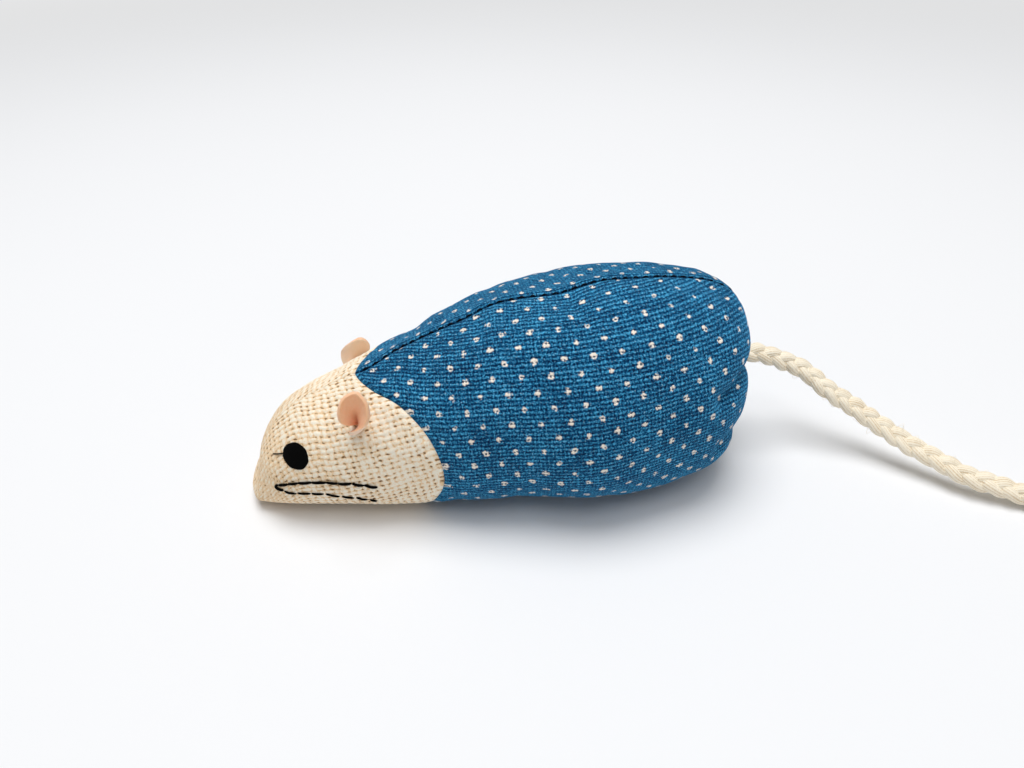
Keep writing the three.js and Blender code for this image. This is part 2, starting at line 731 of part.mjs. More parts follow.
// Assembly

const mouse = new THREE.Group();

function add(name, geometry, material, parent = mouse) {
  const mesh = new THREE.Mesh(geometry, material);
  mesh.name = name;
  parent.add(mesh);
  return mesh;
}

// Everything is worked out on the right, so the left side is its mirror image
const leftSide = new THREE.Group();
leftSide.scale.y = -1;
mouse.add(leftSide);

for (const [side, parent] of [["left", leftSide], ["right", mouse]]) {
  add(`body_panel_${side}`, bodyPanel(), finish(BLUE_CLOTH, 0.9), parent);
  add(`head_panel_${side}`, headPanel(), finish(CREAM_CLOTH, 0.95), parent);
  add(`eye_${side}`, eye(), finish(BLACK_THREAD, 0.7), parent);
  add(`cheek_stitch_${side}`, cheekStitch(), finish(BLACK_THREAD, 0.7), parent);
}
add("ear_left", ear(EARS.left), finish(FELT, 1), leftSide);
add("ear_right", ear(EARS.right), finish(FELT, 1));
add("stuffing", stuffing(), finish(FIBRE, 1));
add("back_seam_thread", backSeamThread(), finish(NAVY_THREAD, 0.7));
add("belly_seam_thread", bellySeamThread(), finish(NAVY_THREAD, 0.7));
add("head_seam_thread", headSeamThread(), finish(CREAM_CLOTH, 0.8));
add("neck_seam_thread", neckSeamThread(), finish(NAVY_THREAD, 0.7));

const root = add("tail_root", tailRoot(), finish(ROPE, 0.95));
root.rotation.z = Math.PI / 2;
root.position.set(RUMP_X + ROOT_STAND_OUT, 0, TAIL_Z);

add("tail_rope", tailRope(), finish(ROPE, 0.95));

const [beforeLast, last] = ROPE_ROUTE.slice(-2).map((p) => new THREE.Vector3(...p));
const knot = add("tail_knot", tailKnot(), finish(ROPE, 0.95));
const knotWay = last.clone().sub(beforeLast).normalize();
knot.quaternion.setFromUnitVectors(new THREE.Vector3(0, 1, 0), knotWay);
knot.position.copy(last).addScaledVector(knotWay, KNOT_GAP);

export default mouse;
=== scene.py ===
"""Fabric mouse toy: camera, stage, materials and the dressed pieces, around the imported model.

Lengths are in millimetres in the tables and functions below, in the model's own frame, and
turn into metres where a mesh is made. +X runs from the nose to the tail, and the mouse's left
side, which faces the camera, is -Y.
"""

import math

import bmesh
import bpy
import numpy as np
from mathutils import Matrix, Vector
from mathutils.bvhtree import BVHTree


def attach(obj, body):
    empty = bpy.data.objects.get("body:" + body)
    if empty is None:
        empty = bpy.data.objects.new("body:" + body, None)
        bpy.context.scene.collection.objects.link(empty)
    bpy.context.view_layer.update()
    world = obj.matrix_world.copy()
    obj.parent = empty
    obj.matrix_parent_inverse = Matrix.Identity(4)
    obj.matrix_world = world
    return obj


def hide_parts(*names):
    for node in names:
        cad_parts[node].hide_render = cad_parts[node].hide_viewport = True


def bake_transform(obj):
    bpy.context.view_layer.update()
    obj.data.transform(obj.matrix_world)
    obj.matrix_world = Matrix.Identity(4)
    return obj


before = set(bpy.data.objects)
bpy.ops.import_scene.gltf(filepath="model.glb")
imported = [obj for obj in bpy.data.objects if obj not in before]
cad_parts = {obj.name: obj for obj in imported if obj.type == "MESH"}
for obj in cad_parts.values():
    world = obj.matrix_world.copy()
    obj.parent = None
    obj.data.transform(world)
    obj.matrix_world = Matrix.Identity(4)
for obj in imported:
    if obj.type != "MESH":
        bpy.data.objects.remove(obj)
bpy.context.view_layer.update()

MM = 0.001


def put_in_scene(name, data):
    item = bpy.data.objects.new(name, data)
    bpy.context.scene.collection.objects.link(item)
    return item


# ---------------------------------------------------------------- camera

EYE_POINT = Vector((-0.0196, -0.143, 0.130))
YAW, PITCH, ROLL = (math.radians(a) for a in (9.56, 36.5, 1.0))
SENSOR_MM = 36
FOCAL_PX, FRAME_PX = 760, 1024


def make_camera():
    ahead = Vector(
        (math.sin(YAW) * math.cos(PITCH), math.cos(YAW) * math.cos(PITCH), -math.sin(PITCH))
    )
    right = Vector((math.cos(YAW), -math.sin(YAW), 0))
    up = right.cross(ahead)
    c, s = math.cos(ROLL), math.sin(ROLL)
    right, up = right * c - up * s, right * s + up * c
    data = bpy.data.cameras.new("camera")
    data.sensor_width = SENSOR_MM
    data.lens = FOCAL_PX / FRAME_PX * SENSOR_MM
    data.clip_start, data.clip_end = 0.005, 20
    camera = put_in_scene("camera", data)
    turn = Matrix((right, up, -ahead)).transposed().to_4x4()
    camera.matrix_world = Matrix.Translation(EYE_POINT) @ turn
    bpy.context.scene.camera = camera


make_camera()

# ---------------------------------------------------------------- meshes

SAME_POINT = 1e-7  # metres


def face_out(mesh, merge=False):
    """Turns a closed mesh's faces to face out, and joins points that fall together."""
    work = bmesh.new()
    work.from_mesh(mesh)
    if merge:
        bmesh.ops.remove_doubles(work, verts=work.verts, dist=SAME_POINT)
    bmesh.ops.recalc_face_normals(work, faces=work.faces)
    work.to_mesh(mesh)
    work.free()


def add_mesh(name, points, faces, attributes=None):
    """A new object from points in millimetres, its faces turned to face out."""
    mesh = bpy.data.meshes.new(name)
    mesh.from_pydata((np.asarray(points, float) * MM).tolist(), [], faces)
    for key, values in (attributes or {}).items():
        values = np.asarray(values, np.float32)
        kind, field = ("FLOAT", "value") if values.ndim == 1 else ("FLOAT_VECTOR", "vector")
        mesh.attributes.new(key, kind, "POINT").data.foreach_set(field, values.ravel())
    face_out(mesh, merge=True)
    mesh.polygons.foreach_set("use_smooth", [True] * len(mesh.polygons))
    mesh.update()
    return put_in_scene(name, mesh)


def ring_faces(rows, count):
    """Quads between closed rings of points, and a fan to one more point at either end."""
    ring = [(k, (k + 1) % count) for k in range(count)]
    faces = [
        (low + a, low + b, low + count + b, low + count + a)
        for low in range(0, (rows - 1) * count, count)
        for a, b in ring
    ]
    for low, tip in ((0, rows * count), ((rows - 1) * count, rows * count + 1)):
        faces += [(low + a, low + b, tip) for a, b in ring]
    return faces


def loft(name, rings, attributes=None):
    """A closed form through rings of points, each end closed by a fan to the ring's middle."""
    rings = np.asarray(rings)
    points = np.concatenate([rings.reshape(-1, 3), [rings[0].mean(0), rings[-1].mean(0)]])
    return add_mesh(name, points, ring_faces(*rings.shape[:2]), attributes)


def unit(v):
    return v / np.maximum(np.linalg.norm(v, axis=-1, keepdims=True), 1e-12)


def smoothstep(low, high, value):
    t = np.clip((value - low) / (high - low), 0, 1)
    return t * t * (3 - 2 * t)


def bell(value, width):
    return np.exp(-((value / width) ** 2))


def circle(count):
    return np.arange(count) * 2 * math.pi / count


def reach_along(path):
    """Distance along a path to each of its points."""
    return np.concatenate([[0], np.cumsum(np.linalg.norm(np.diff(path, axis=0), axis=1))])


def between(at, known, rows):
    """Rows of three numbers, known at some distances, read off at others."""
    return np.stack([np.interp(at, known, rows[:, k]) for k in range(3)], -1)


def even(path, step):
    """The same path with points an even distance apart, and their distances along it."""
    path = np.asarray(path, float)
    reach = reach_along(path)
    at = np.linspace(0, reach[-1], max(int(round(reach[-1] / step)), 2) + 1)
    return between(at, reach, path), at


def smoothed(values, times=1):
    values = np.asarray(values, float)
    for _ in range(times):
        padded = np.concatenate([values[:1], values, values[-1:]])
        values = (padded[:-2] + 2 * padded[1:-1] + padded[2:]) / 4
    return values


class Parts:
    """Collects closed forms, such as stitches or yarns, that make up one piece."""

    def __init__(self):
        self.points, self.faces, self.values = [], [], []

    def add(self, points, faces, value):
        start = len(self.points)
        self.points += [tuple(p) for p in points]
        self.faces += [tuple(start + k for k in face) for face in faces]
        self.values += list(np.broadcast_to(value, len(points)))

    def tube(self, path, radius, sides, value):
        """A round or ridged tube with rounded ends.

        radius and value are numbers, or one per point of the path and side."""
        path = np.asarray(path, float)
        tangent, side, up = path_frames(path)
        angle = circle(sides)
        size = np.broadcast_to(radius, (len(path), sides if np.ndim(radius) else 1))
        rings = (
            path[:, None]
            + (np.cos(angle) * size)[..., None] * side[:, None]
            + (np.sin(angle) * size)[..., None] * up[:, None]
        )
        ends = ((0, -1), (-1, 1))
        tips = [path[k] + sign * tangent[k] * size[k].mean() * 0.5 for k, sign in ends]
        if np.ndim(value) == 2:
            value = np.append(value.ravel(), [0, 0])
        points = np.concatenate([rings.reshape(-1, 3), tips])
        self.add(points.tolist(), ring_faces(len(path), sides), value)

    def piece(self, name):
        return add_mesh(name, self.points, self.faces, {"shade": self.values})


def path_frames(path):
    """Tangents and two cross directions that don't spin along the path."""
    tangent = unit(np.gradient(path, axis=0))
    side = np.empty_like(path)
    start = np.cross(tangent[0], (0, 0, 1))
    if np.linalg.norm(start) < 1e-3:
        start = np.cross(tangent[0], (0, 1, 0))
    side[0] = unit(start)
    for k in range(1, len(path)):
        side[k] = unit(side[k - 1] - tangent[k] * np.dot(side[k - 1], tangent[k]))
    return tangent, side, np.cross(side, tangent)


def centripetal(points, count):
    """Points on the centripetal curve through the given ones, the curve that the model uses."""
    p = np.asarray(points, float)
    p = np.vstack([2 * p[0] - p[1], p, 2 * p[-1] - p[-2]])
    out = []
    spans = len(p) - 3
    for n in range(count):
        at = n / (count - 1) * spans
        k = min(int(at), spans - 1)
        w = at - k
        p0, p1, p2, p3 = near = p[k : k + 4]
        d0, d1, d2 = (max(np.linalg.norm(b - a) ** 0.5, 1e-6) for a, b in zip(near, near[1:]))
        t1 = ((p1 - p0) / d0 - (p2 - p0) / (d0 + d1) + (p2 - p1) / d1) * d1
        t2 = ((p2 - p1) / d1 - (p3 - p1) / (d1 + d2) + (p3 - p2) / d2) * d1
        c2, c3 = -3 * p1 + 3 * p2 - 2 * t1 - t2, 2 * p1 - 2 * p2 + t1 + t2
        out.append(p1 + t1 * w + c2 * w * w + c3 * w**3)
    return np.array(out)


# ---------------------------------------------------------------- rope

ROPE_ROUTE = [
    (61.3, 0, 24.2), (65.6, -0.2, 23.6), (70.9, -1.2, 22.1), (77.2, -3.1, 19.2),
    (82.3, -7.8, 15.8), (87.7, -11.5, 12.5), (93.3, -16.8, 9.4), (98.3, -22.5, 7.1),
    (103.1, -27.9, 5.6), (107.7, -33, 4.6), (113, -36.7, 3.9), (117.6, -39.6, 3.3),
    (123, -43.2, 2.9), (129, -46.6, 3.2), (134.3, -49, 4.8), (139.2, -50.8, 6.05),
    (143, -51.9, 5.85),
]
TAIL_Z = 24.2
BRAID_PERIOD = 12.3
YARNS = 15
YARN_STEP = 0.4


def braid(parts, path, wide=1.05, thick=0.5, strand=1.64, period=BRAID_PERIOD, roll=0.0):
    """Three strands of fine parallel yarns, plaited along a path."""
    path, at = even(path, YARN_STEP)
    _, side, up = path_frames(path)
    c, s = math.cos(math.radians(roll)), math.sin(math.radians(roll))
    side, up = side * c - up * s, side * s + up * c
    sides = YARNS * 4
    angle = circle(sides)
    for k in range(3):
        turn = 2 * math.pi * (at / period + k / 3)
        wander = 0.07 * np.sin(at * 0.9 + 2.1 * k) + 0.05 * np.sin(at * 0.37 + k)
        course = (
            path
            + side * ((wide + wander) * np.sin(turn))[:, None]
            + up * (thick * np.sin(2 * turn))[:, None]
        )
        spin = at[:, None] * 0.05 + 1.3 * k
        ridge = np.abs(np.cos((angle[None] * YARNS + spin) / 2))
        lobe = np.abs(np.cos((angle[None] * 3 + at[:, None] * 0.11 + k) / 2))
        swell = 1 + 0.04 * np.sin(at * 1.7 + k)[:, None]
        flat = 1 - 0.2 * np.sin(angle)[None] ** 2
        radius = strand * swell * flat * (0.93 + 0.045 * ridge + 0.04 * lobe)
        # shade attribute: painted shade in the grooves between yarns and between strands
        parts.tube(course, radius, sides, np.clip(0.15 + 0.6 * ridge + 0.25 * lobe, 0, 1))


def stray_fibres(parts, path, count, seed):
    """Fine fibre ends and loops that stand out of the rope."""
    rng = np.random.default_rng(seed)
    path, _ = even(path, 0.5)
    tangent, side, up = path_frames(path)
    for _ in range(count):
        k = int(rng.integers(8, len(path) - 12))
        around = rng.uniform(0, 2 * math.pi)
        out = side[k] * math.cos(around) + up[k] * math.sin(around)
        root = path[k] + out * 1.7
        loop = rng.random() < 0.12
        reach = rng.uniform(1.0, 1.9) if loop else rng.uniform(0.5, 1.1)
        span = rng.uniform(1.2, 2.2) if loop else rng.uniform(0.4, 2.6)
        t = np.linspace(0, 1, 9)[:, None]
        bow = np.sin(t * math.pi * (1.0 if loop else rng.uniform(0.5, 0.9)))
        line = root + tangent[k] * (t - 0.3) * span + out * bow * reach
        line[:, 2] = np.maximum(line[:, 2], 0.1)
        parts.tube(line, 0.035 if loop else 0.022, 4, 0.9)


route = centripetal(ROPE_ROUTE, 240)
rope_path = np.vstack([[(x, 0, TAIL_Z) for x in (57.4, 58.6, 60.0)], route])

# ---------------------------------------------------------------- skin

LENGTH, HEIGHT, WIDTH = 117.6, 48, 57.2
REST_FLAT = 0.5
CLOTH = 0.8
HALF_GAP = 0.2
GROOVE_DEPTH = 0.9
SEAM_DIP, SEAM_DIP_REACH = 0.55, 1.3  # how the cloth really dips to the seams
NECK_DIP, NECK_DIP_REACH = 0.35, 1.6
SKIN_SHARES = np.array([
    (0, 0.077, 0, 0.0875), (0.007, 0.138, 0.203, 0.065), (0.0245, 0.271, 0.301, 0.019),
    (0.0955, 0.485, 0.462, 0.023), (0.206, 0.623, 0.577, 0.015), (0.345, 0.781, 0.699, 0),
    (0.5, 0.944, 0.839, 0), (0.655, 0.994, 1, 0), (0.794, 0.998, 0.958, 0),
    (0.9045, 0.95, 0.811, 0.04), (0.965, 0.904, 0.594, 0.144), (0.992, 0.84, 0.36, 0.267),
    (1, 0.721, 0.266, 0.344), (0.994, 0.571, 0.126, 0.448),
])
WIDEST_SHARE = 0.39
FULLNESS = (2.1, 2.5)
NECK_SHARES = (0.324, 0.341, 0.37, 0.392, 0.401, 0.393, 0.386, 0.38, 0.377)
SEAM_ALLOWANCE, NECK_ALLOWANCE = 4, 3


def catmull(values, share):
    values = np.asarray(values, float)
    last = len(values) - 1
    at = np.clip(share, 0, 1) * last
    k = np.minimum(np.floor(at).astype(int), last - 1)
    t = at - k
    p0, p1 = values[np.maximum(k - 1, 0)], values[k]
    p2, p3 = values[k + 1], values[np.minimum(k + 2, last)]
    v0, v1 = (p2 - p0) / 2, (p3 - p1) / 2
    c3, c2 = 2 * p1 - 2 * p2 + v0 + v1, -3 * p1 + 3 * p2 - 2 * v0 - v1
    return c3 * t**3 + c2 * t**2 + v0 * t + p1


def skin(station, turn):
    """The stuffed skin's right half; turn is 1 on the back seam and -1 on the belly seam."""
    station, turn = np.broadcast_arrays(np.asarray(station, float), np.asarray(turn, float))
    x = catmull(SKIN_SHARES[:, 0], station) * LENGTH - LENGTH / 2
    top = catmull(SKIN_SHARES[:, 1], station) * HEIGHT
    half = np.maximum(catmull(SKIN_SHARES[:, 2], station), 0) * WIDTH / 2
    bottom = catmull(SKIN_SHARES[:, 3], station) * HEIGHT - REST_FLAT
    angle = turn * math.pi / 2
    power = 2 / np.where(turn >= 0, *FULLNESS)
    middle = bottom + (top - bottom) * WIDEST_SHARE
    reach = np.where(turn >= 0, top - middle, middle - bottom)
    y = HALF_GAP + half * np.clip(np.cos(angle), 0, 1) ** power
    z = middle + np.sign(turn) * reach * np.abs(np.sin(angle)) ** power
    return np.stack([x, y, np.maximum(z, 0)], -1)


def neck_station(turn):
    return catmull(NECK_SHARES, (1 - np.asarray(turn, float)) / 2)


def station_of(row, turn):
    """row runs from 0 on the nose, over 1 on the neck seam, to 2 on the rump."""
    neck = neck_station(turn)
    return np.where(row <= 1, row * neck, neck + (1 - neck) * (row - 1))


TABLE_STATIONS = np.linspace(0, 1, 241)
TABLE_TURNS = np.linspace(1, -1, 201)
_table = skin(TABLE_STATIONS[:, None], TABLE_TURNS[None])
_steps = np.linalg.norm(np.diff(_table, axis=1), axis=2)
GIRTHS = np.concatenate([np.zeros((len(_table), 1)), np.cumsum(_steps, axis=1)], axis=1)


def look_up(table, rows, columns):
    """Values between a table's points; rows and columns are in its own steps."""
    rows, columns = np.broadcast_arrays(rows, columns)
    r = np.clip(np.floor(rows).astype(int), 0, table.shape[0] - 2)
    c = np.clip(np.floor(columns).astype(int), 0, table.shape[1] - 2)
    a, b = np.clip(rows - r, 0, 1), np.clip(columns - c, 0, 1)
    return (
        table[r, c] * (1 - a) * (1 - b)
        + table[r + 1, c] * a * (1 - b)
        + table[r, c + 1] * (1 - a) * b
        + table[r + 1, c + 1] * a * b
    )


def girth(station, turn):
    """Distance from the back seam, over the skin."""
    rows, columns = len(TABLE_STATIONS) - 1, len(TABLE_TURNS) - 1
    return look_up(GIRTHS, station * rows, (1 - turn) / 2 * columns)


def even_rows(low, high, step):
    """Rows an even distance apart on the upper flank."""
    fine = np.linspace(low, high, 600)
    reach = reach_along(skin(station_of(fine, 0.35), 0.35))
    return np.interp(np.linspace(0, reach[-1], int(reach[-1] / step) + 1), reach, fine)


def even_turns(step, station=0.55):
    reach = girth(station, TABLE_TURNS)
    return np.interp(np.linspace(0, reach[-1], int(reach[-1] / step) + 1), reach, TABLE_TURNS)


def grid_normals(grid):
    """Normals of a grid of points, turned to the right half's outside."""
    normal = unit(np.cross(*np.gradient(grid, axis=(0, 1))))
    middle = normal[grid.shape[0] // 2, grid.shape[1] // 2]
    return normal if middle[1] > 0 else -normal


# ---------------------------------------------------------------- cloth simulation

SIM_SCALE = 0.01  # metres per millimetre, so the toy is ten times its size in the simulation
SIM_FRAMES = 20
SIM_CLOTH = dict(
    quality=6, mass=0.3, tension_stiffness=18, compression_stiffness=18, shear_stiffness=6,
    bending_stiffness=0.3, shrink_min=-0.045, use_pressure=True, uniform_pressure_force=4,
)
SIM_CAP = 1.3  # the most that the simulation moves the cloth, in millimetres


def simulate_cloth():
    """Blows the sewn skin up with its seams held, and returns how far each point moves out."""
    rows = np.concatenate([even_rows(0.06, 1, 2.4), even_rows(1, 1.97, 2.2)[1:]])
    turns = even_turns(2.4)
    half = skin(station_of(rows[:, None], turns[None]), turns[None])
    ring = np.concatenate([half, (half * (1, -1, 1))[:, -2:0:-1]], axis=1)
    count, width = ring.shape[1], len(turns)
    points = np.concatenate([ring.reshape(-1, 3), [ring[0].mean(0), ring[-1].mean(0)]]) * SIM_SCALE
    mesh = bpy.data.meshes.new("simulated")
    mesh.from_pydata(points.tolist(), [], ring_faces(len(rows), count))
    face_out(mesh)
    body = put_in_scene("simulated", mesh)
    held = body.vertex_groups.new(name="seams")
    number = np.arange(len(rows) * count).reshape(len(rows), count)
    seams = (number[:, 0], number[:, width - 1], number[np.argmin(np.abs(rows - 1))])
    pinned = {k for line in (*seams, number[0], number[-1]) for k in line.tolist()}
    held.add(sorted(pinned | {number.size, number.size + 1}), 1.0, "REPLACE")
    cloth = body.modifiers.new("cloth", "CLOTH")
    for key, value in SIM_CLOTH.items():
        setattr(cloth.settings, key, value)
    cloth.settings.vertex_group_mass = held.name
    cloth.settings.effector_weights.gravity = 0
    cloth.collision_settings.use_collision = False
    scene = bpy.context.scene
    for frame_number in range(1, SIM_FRAMES + 1):
        scene.frame_set(frame_number)
    shown = body.evaluated_get(bpy.context.evaluated_depsgraph_get())
    moved = np.array([v.co for v in shown.data.vertices])[: number.size]
    scene.frame_set(1)
    bpy.data.objects.remove(body)
    bpy.data.meshes.remove(mesh)
    out = moved.reshape(ring.shape) / SIM_SCALE - ring
    normal = grid_normals(half)
    columns = {1: list(range(width)), -1: [0, *range(count - 1, width - 1, -1), width - 1]}
    swell = {side: (out[:, columns[side]] * (normal * (1, side, 1))).sum(-1) for side in columns}
    return rows, turns, swell


def simulated_field():
    """The simulated swell as a function of row, turn and side, with its middle level taken out."""
    rows, turns, out = simulate_cloth()
    fields = {}
    for side, swell in out.items():
        inner = swell[3:-3, 3:-3]
        level = np.median(inner)
        spread = np.percentile(np.abs(inner - level), 90)
        fields[side] = SIM_CAP * np.tanh((swell - level) / max(spread, 1e-6) * 0.5)

    def field(row, turn, side):
        r = np.interp(row, rows, np.arange(len(rows)))
        c = np.interp(-np.asarray(turn), -turns, np.arange(len(turns)))
        return look_up(fields[side], r, c)

    return field


swell_at = simulated_field()


# ---------------------------------------------------------------- materials


def linear(red, green, blue):
    """A colour given as it looks on screen, 0 to 255."""
    parts = [c / 255 for c in (red, green, blue)]
    return tuple(c / 12.92 if c <= 0.04045 else ((c + 0.055) / 1.055) ** 2.4 for c in parts) + (1,)


class Value:
    """A node's output, with sums and products that make new nodes."""

    def __init__(self, nodes, socket):
        self.nodes, self.socket = nodes, socket

    def __add__(self, other):
        return self.nodes.math("ADD", self, other)

    def __sub__(self, other):
        return self.nodes.math("SUBTRACT", self, other)

    def __mul__(self, other):
        return self.nodes.math("MULTIPLY", self, other)


class Nodes:
    """Short calls for the nodes of one tree."""

    def __init__(self, tree):
        self.tree = tree

    def put(self, socket, value):
        if isinstance(value, Value):
            self.tree.links.new(value.socket, socket)
        else:
            socket.default_value = value

    def node(self, kind, settings=None, **inputs):
        """A new node; a space in an input's name is written as an underscore."""
        node = self.tree.nodes.new("ShaderNode" + kind)
        for key, value in (settings or {}).items():
            setattr(node, key, value)
        for key, value in inputs.items():
            self.put(node.inputs[key.replace("_", " ")], value)
        return node

    def value(self, kind, output, settings=None, **inputs):
        return Value(self, self.node(kind, settings, **inputs).outputs[output])

    def plus(self, value, *shares):
        """The value plus each source times its weight."""
        for source, weight in shares:
            value = value + source * weight
        return value

    def math(self, operation, *values):
        node = self.node("Math", {"operation": operation})
        for socket, value in zip(node.inputs, values):
            self.put(socket, value)
        return Value(self, node.outputs[0])

    def seen_rays(self):
        """1 where a ray comes from the camera, a mirror-like surface or through a clear one."""
        rays = self.node("LightPath").outputs
        camera, glossy, clear = (
            Value(self, rays[f"Is {kind} Ray"]) for kind in ("Camera", "Glossy", "Transmission")
        )
        return self.math("MAXIMUM", self.math("MAXIMUM", camera, glossy), clear)

    def show(self, output, share, first, second):
        """Sends a mix of two shaders to the tree's output."""
        blend = self.node("MixShader", Fac=share)
        self.put(blend.inputs[1], first)
        self.put(blend.inputs[2], second)
        self.put(self.tree.nodes[output].inputs["Surface"], Value(self, blend.outputs[0]))


class Shader(Nodes):
    """One material and its nodes."""

    def __init__(self, name, roughness=0.9, sheen=0.0, sheen_roughness=0.5, specular=0.25):
        self.material = bpy.data.materials.new(name)
        self.material.use_nodes = True
        super().__init__(self.material.node_tree)
        self.surface = self.tree.nodes["Principled BSDF"]
        self.set({
            "Roughness": roughness, "Specular IOR Level": specular,
            "Sheen Weight": sheen, "Sheen Roughness": sheen_roughness,
        })

    def set(self, values):
        for key, value in values.items():
            self.put(self.surface.inputs[key], value)

    def vector(self, name):
        """The three parts of a vector attribute."""
        return self.split(self.value("Attribute", "Vector", {"attribute_name": name}))

    def number(self, name):
        return self.value("Attribute", "Fac", {"attribute_name": name})

    def split(self, vector):
        return [Value(self, part) for part in self.node("SeparateXYZ", Vector=vector).outputs]

    def join(self, x, y, z=0.0):
        return self.value("CombineXYZ", 0, X=x, Y=y, Z=z)

    def place(self):
        """Position on the object in millimetres."""
        at = self.value("TexCoord", "Object")
        return self.value("VectorMath", 0, {"operation": "SCALE"}, Vector=at, Scale=1000.0)

    def noise(self, vector, scale, detail=2.0, roughness=0.5):
        """Smooth noise about 0."""
        found = self.value(
            "TexNoise", "Fac", Vector=vector, Scale=scale, Detail=detail, Roughness=roughness
        )
        return found - 0.5

    def white(self, x, y, z=0.0):
        """One random number about 0 for each whole x, y and z."""
        return self.value("TexWhiteNoise", "Value", Vector=self.join(x, y, z)) - 0.5

    def span(self, value, low, high, to_low=0.0, to_high=1.0, smooth=False):
        kind = {"interpolation_type": "SMOOTHSTEP" if smooth else "LINEAR"}
        ends = dict(From_Min=low, From_Max=high, To_Min=to_low, To_Max=to_high)
        return self.value("MapRange", "Result", kind, Value=value, **ends)

    def mix(self, share, a, b):
        node = self.node("Mix", {"data_type": "RGBA"}, Factor=share)
        self.put(node.inputs[6], a)
        self.put(node.inputs[7], b)
        return Value(self, node.outputs[2])

    def finish(self, colour, height=None, distance=0.0, strength=1.0):
        """Sets the colour and a bump whose height is given, and returns the material."""
        self.set({"Base Color": colour})
        if height is not None:
            bump = dict(Height=height, Distance=distance, Strength=strength)
            self.set({"Normal": self.value("Bump", 0, **bump)})
        return self.material


WARPS_PER_STEP, WEFTS_PER_STEP = 3.6, 3.35
DOT_STEP = (2.93, 3.1)  # millimetres between the dot lattice's columns and rows
DOT_RADII = (0.5, 0.7)  # millimetres where a dot starts to fade and ends


def blue_cotton():
    """Plain weave in blue, its weft rows raised, with painted shade in the gaps between threads and
    painted glints on them, printed with small cream dots.
    """
    s = Shader("blue_cotton", 0.95, 0.5, 0.4, 0.12)
    s.set({"Sheen Tint": linear(90, 185, 245)})
    a, b, _ = s.vector("weave")
    wide, tall, lean = s.vector("stretch")
    place = s.place()
    warp = a * WARPS_PER_STEP + s.noise(place, 0.55, 3.0) * 0.7
    weft = b * WEFTS_PER_STEP + s.noise(place, 0.7) * 0.5
    wave_a, wave_b = (s.math("COSINE", thread * math.pi) for thread in (warp, weft))
    over = wave_a * wave_b
    hill_a = s.math("ABSOLUTE", wave_a) * 0.7 - over * 0.32
    hill_b = s.math("ABSOLUTE", wave_b) * 0.96 + over * 0.2
    weave = s.math("MAXIMUM", hill_a, hill_b)
    fibre = s.noise(s.join(warp * 1.3, weft * 3.6), 2.6, 3.0, 0.75)
    whole_warp, whole_weft = (s.math("ROUND", thread) for thread in (warp, weft))
    tint = s.white(whole_warp, whole_weft)
    row_tint = s.white(0.0, whole_weft, 3.0)
    speck = s.noise(place, 2.7, 2.0, 0.8)
    # painted shade: the weave's height darkens the gaps between the threads and lightens the raised
    # threads, mixed with random tone
    shade = s.plus(
        s.span(weave, 0.3, 1.12, 0.1, 0.88), (tint, 0.2), (row_tint, 0.12), (fibre, 1.0),
        (speck, 2.6), (s.noise(place, 5.5, 2.0, 0.6), 1.7), (s.noise(place, 0.12), 0.35),
    )
    # the dark tones are painted shade in the gaps, the light tone is painted light on the raised
    # threads
    deep = s.mix(s.span(shade, 0.0, 0.55, smooth=True), linear(0, 27, 57), linear(3, 78, 123))
    cloth = s.mix(s.span(shade, 0.5, 1.3, smooth=True), deep, linear(82, 184, 232))
    # painted glints: pale flecks on some raised threads
    painted_glint = s.span(s.noise(place, 3.3, 1.0), 0.1, 0.24) * s.span(weave, 0.6, 1.0)
    cloth = s.mix(painted_glint * 0.55, cloth, linear(176, 226, 246))
    # dots on a centred lattice: the distance in millimetres to the nearest one
    nearest = None
    for shift in (0.0, 0.5):
        parts = []
        for value, step, scale in zip((a, b), DOT_STEP, (wide, tall)):
            half = value * 0.5 + shift
            parts.append((half - s.math("ROUND", half)) * (2 * step) * scale)
        x, y = parts
        away = s.math("SQRT", x * x + y * y + lean * (x * y))
        nearest = away if nearest is None else s.math("MINIMUM", nearest, away)
    ragged = nearest + tint * 0.5 + speck * 1.1
    dot = s.span(ragged, *DOT_RADII, 1.0, 0.0, smooth=True)
    raised = s.span(weave + speck * 2.2, 0.34, 0.7)
    cloth = s.mix(dot * raised, cloth, linear(250, 240, 226))
    return s.finish(cloth, weave + fibre * 0.4 + s.noise(place, 9.0) * 0.25, 0.00018)


def cream_burlap():
    """Thick uneven cream yarns; the mesh holds their relief, which also paints shade into the gaps
    between the yarns and lightens their crowns.
    """
    s = Shader("cream_burlap", 0.95, 0.08, 0.5)
    place = s.place()
    a, b, _ = s.vector("weave")
    along_a = s.noise(s.join(a * 1.2, b * 9.0), 1.5, 3.0, 0.65)
    along_b = s.noise(s.join(a * 9.0, b * 1.2, 5.0), 1.5, 3.0, 0.65)
    fibre = (along_a + along_b) * 0.5
    shade = s.plus(
        s.span(s.number("relief"), 0.22, 0.78, -0.12, 1.0), (fibre, 1.3),
        (s.noise(place, 2.4, 2.0, 0.7), 1.5), (s.noise(place, 0.09), 0.25),
        (s.white(s.math("ROUND", a), s.math("ROUND", b)), 0.24),
    )
    # painted shade: the gap tone where the relief is low between yarns; the yarns' cream tone,
    # lighter on their crowns as painted light
    gap, yarn_low, yarn_high = linear(136, 100, 66), linear(243, 209, 163), linear(255, 246, 228)
    cloth = s.mix(s.span(shade, -0.05, 0.42, smooth=True), gap, yarn_low)
    cloth = s.mix(s.span(shade, 0.4, 1.15, smooth=True), cloth, yarn_high)
    return s.finish(cloth, fibre + s.noise(place, 5.0, 3.0) * 0.5, 0.00016, 0.9)


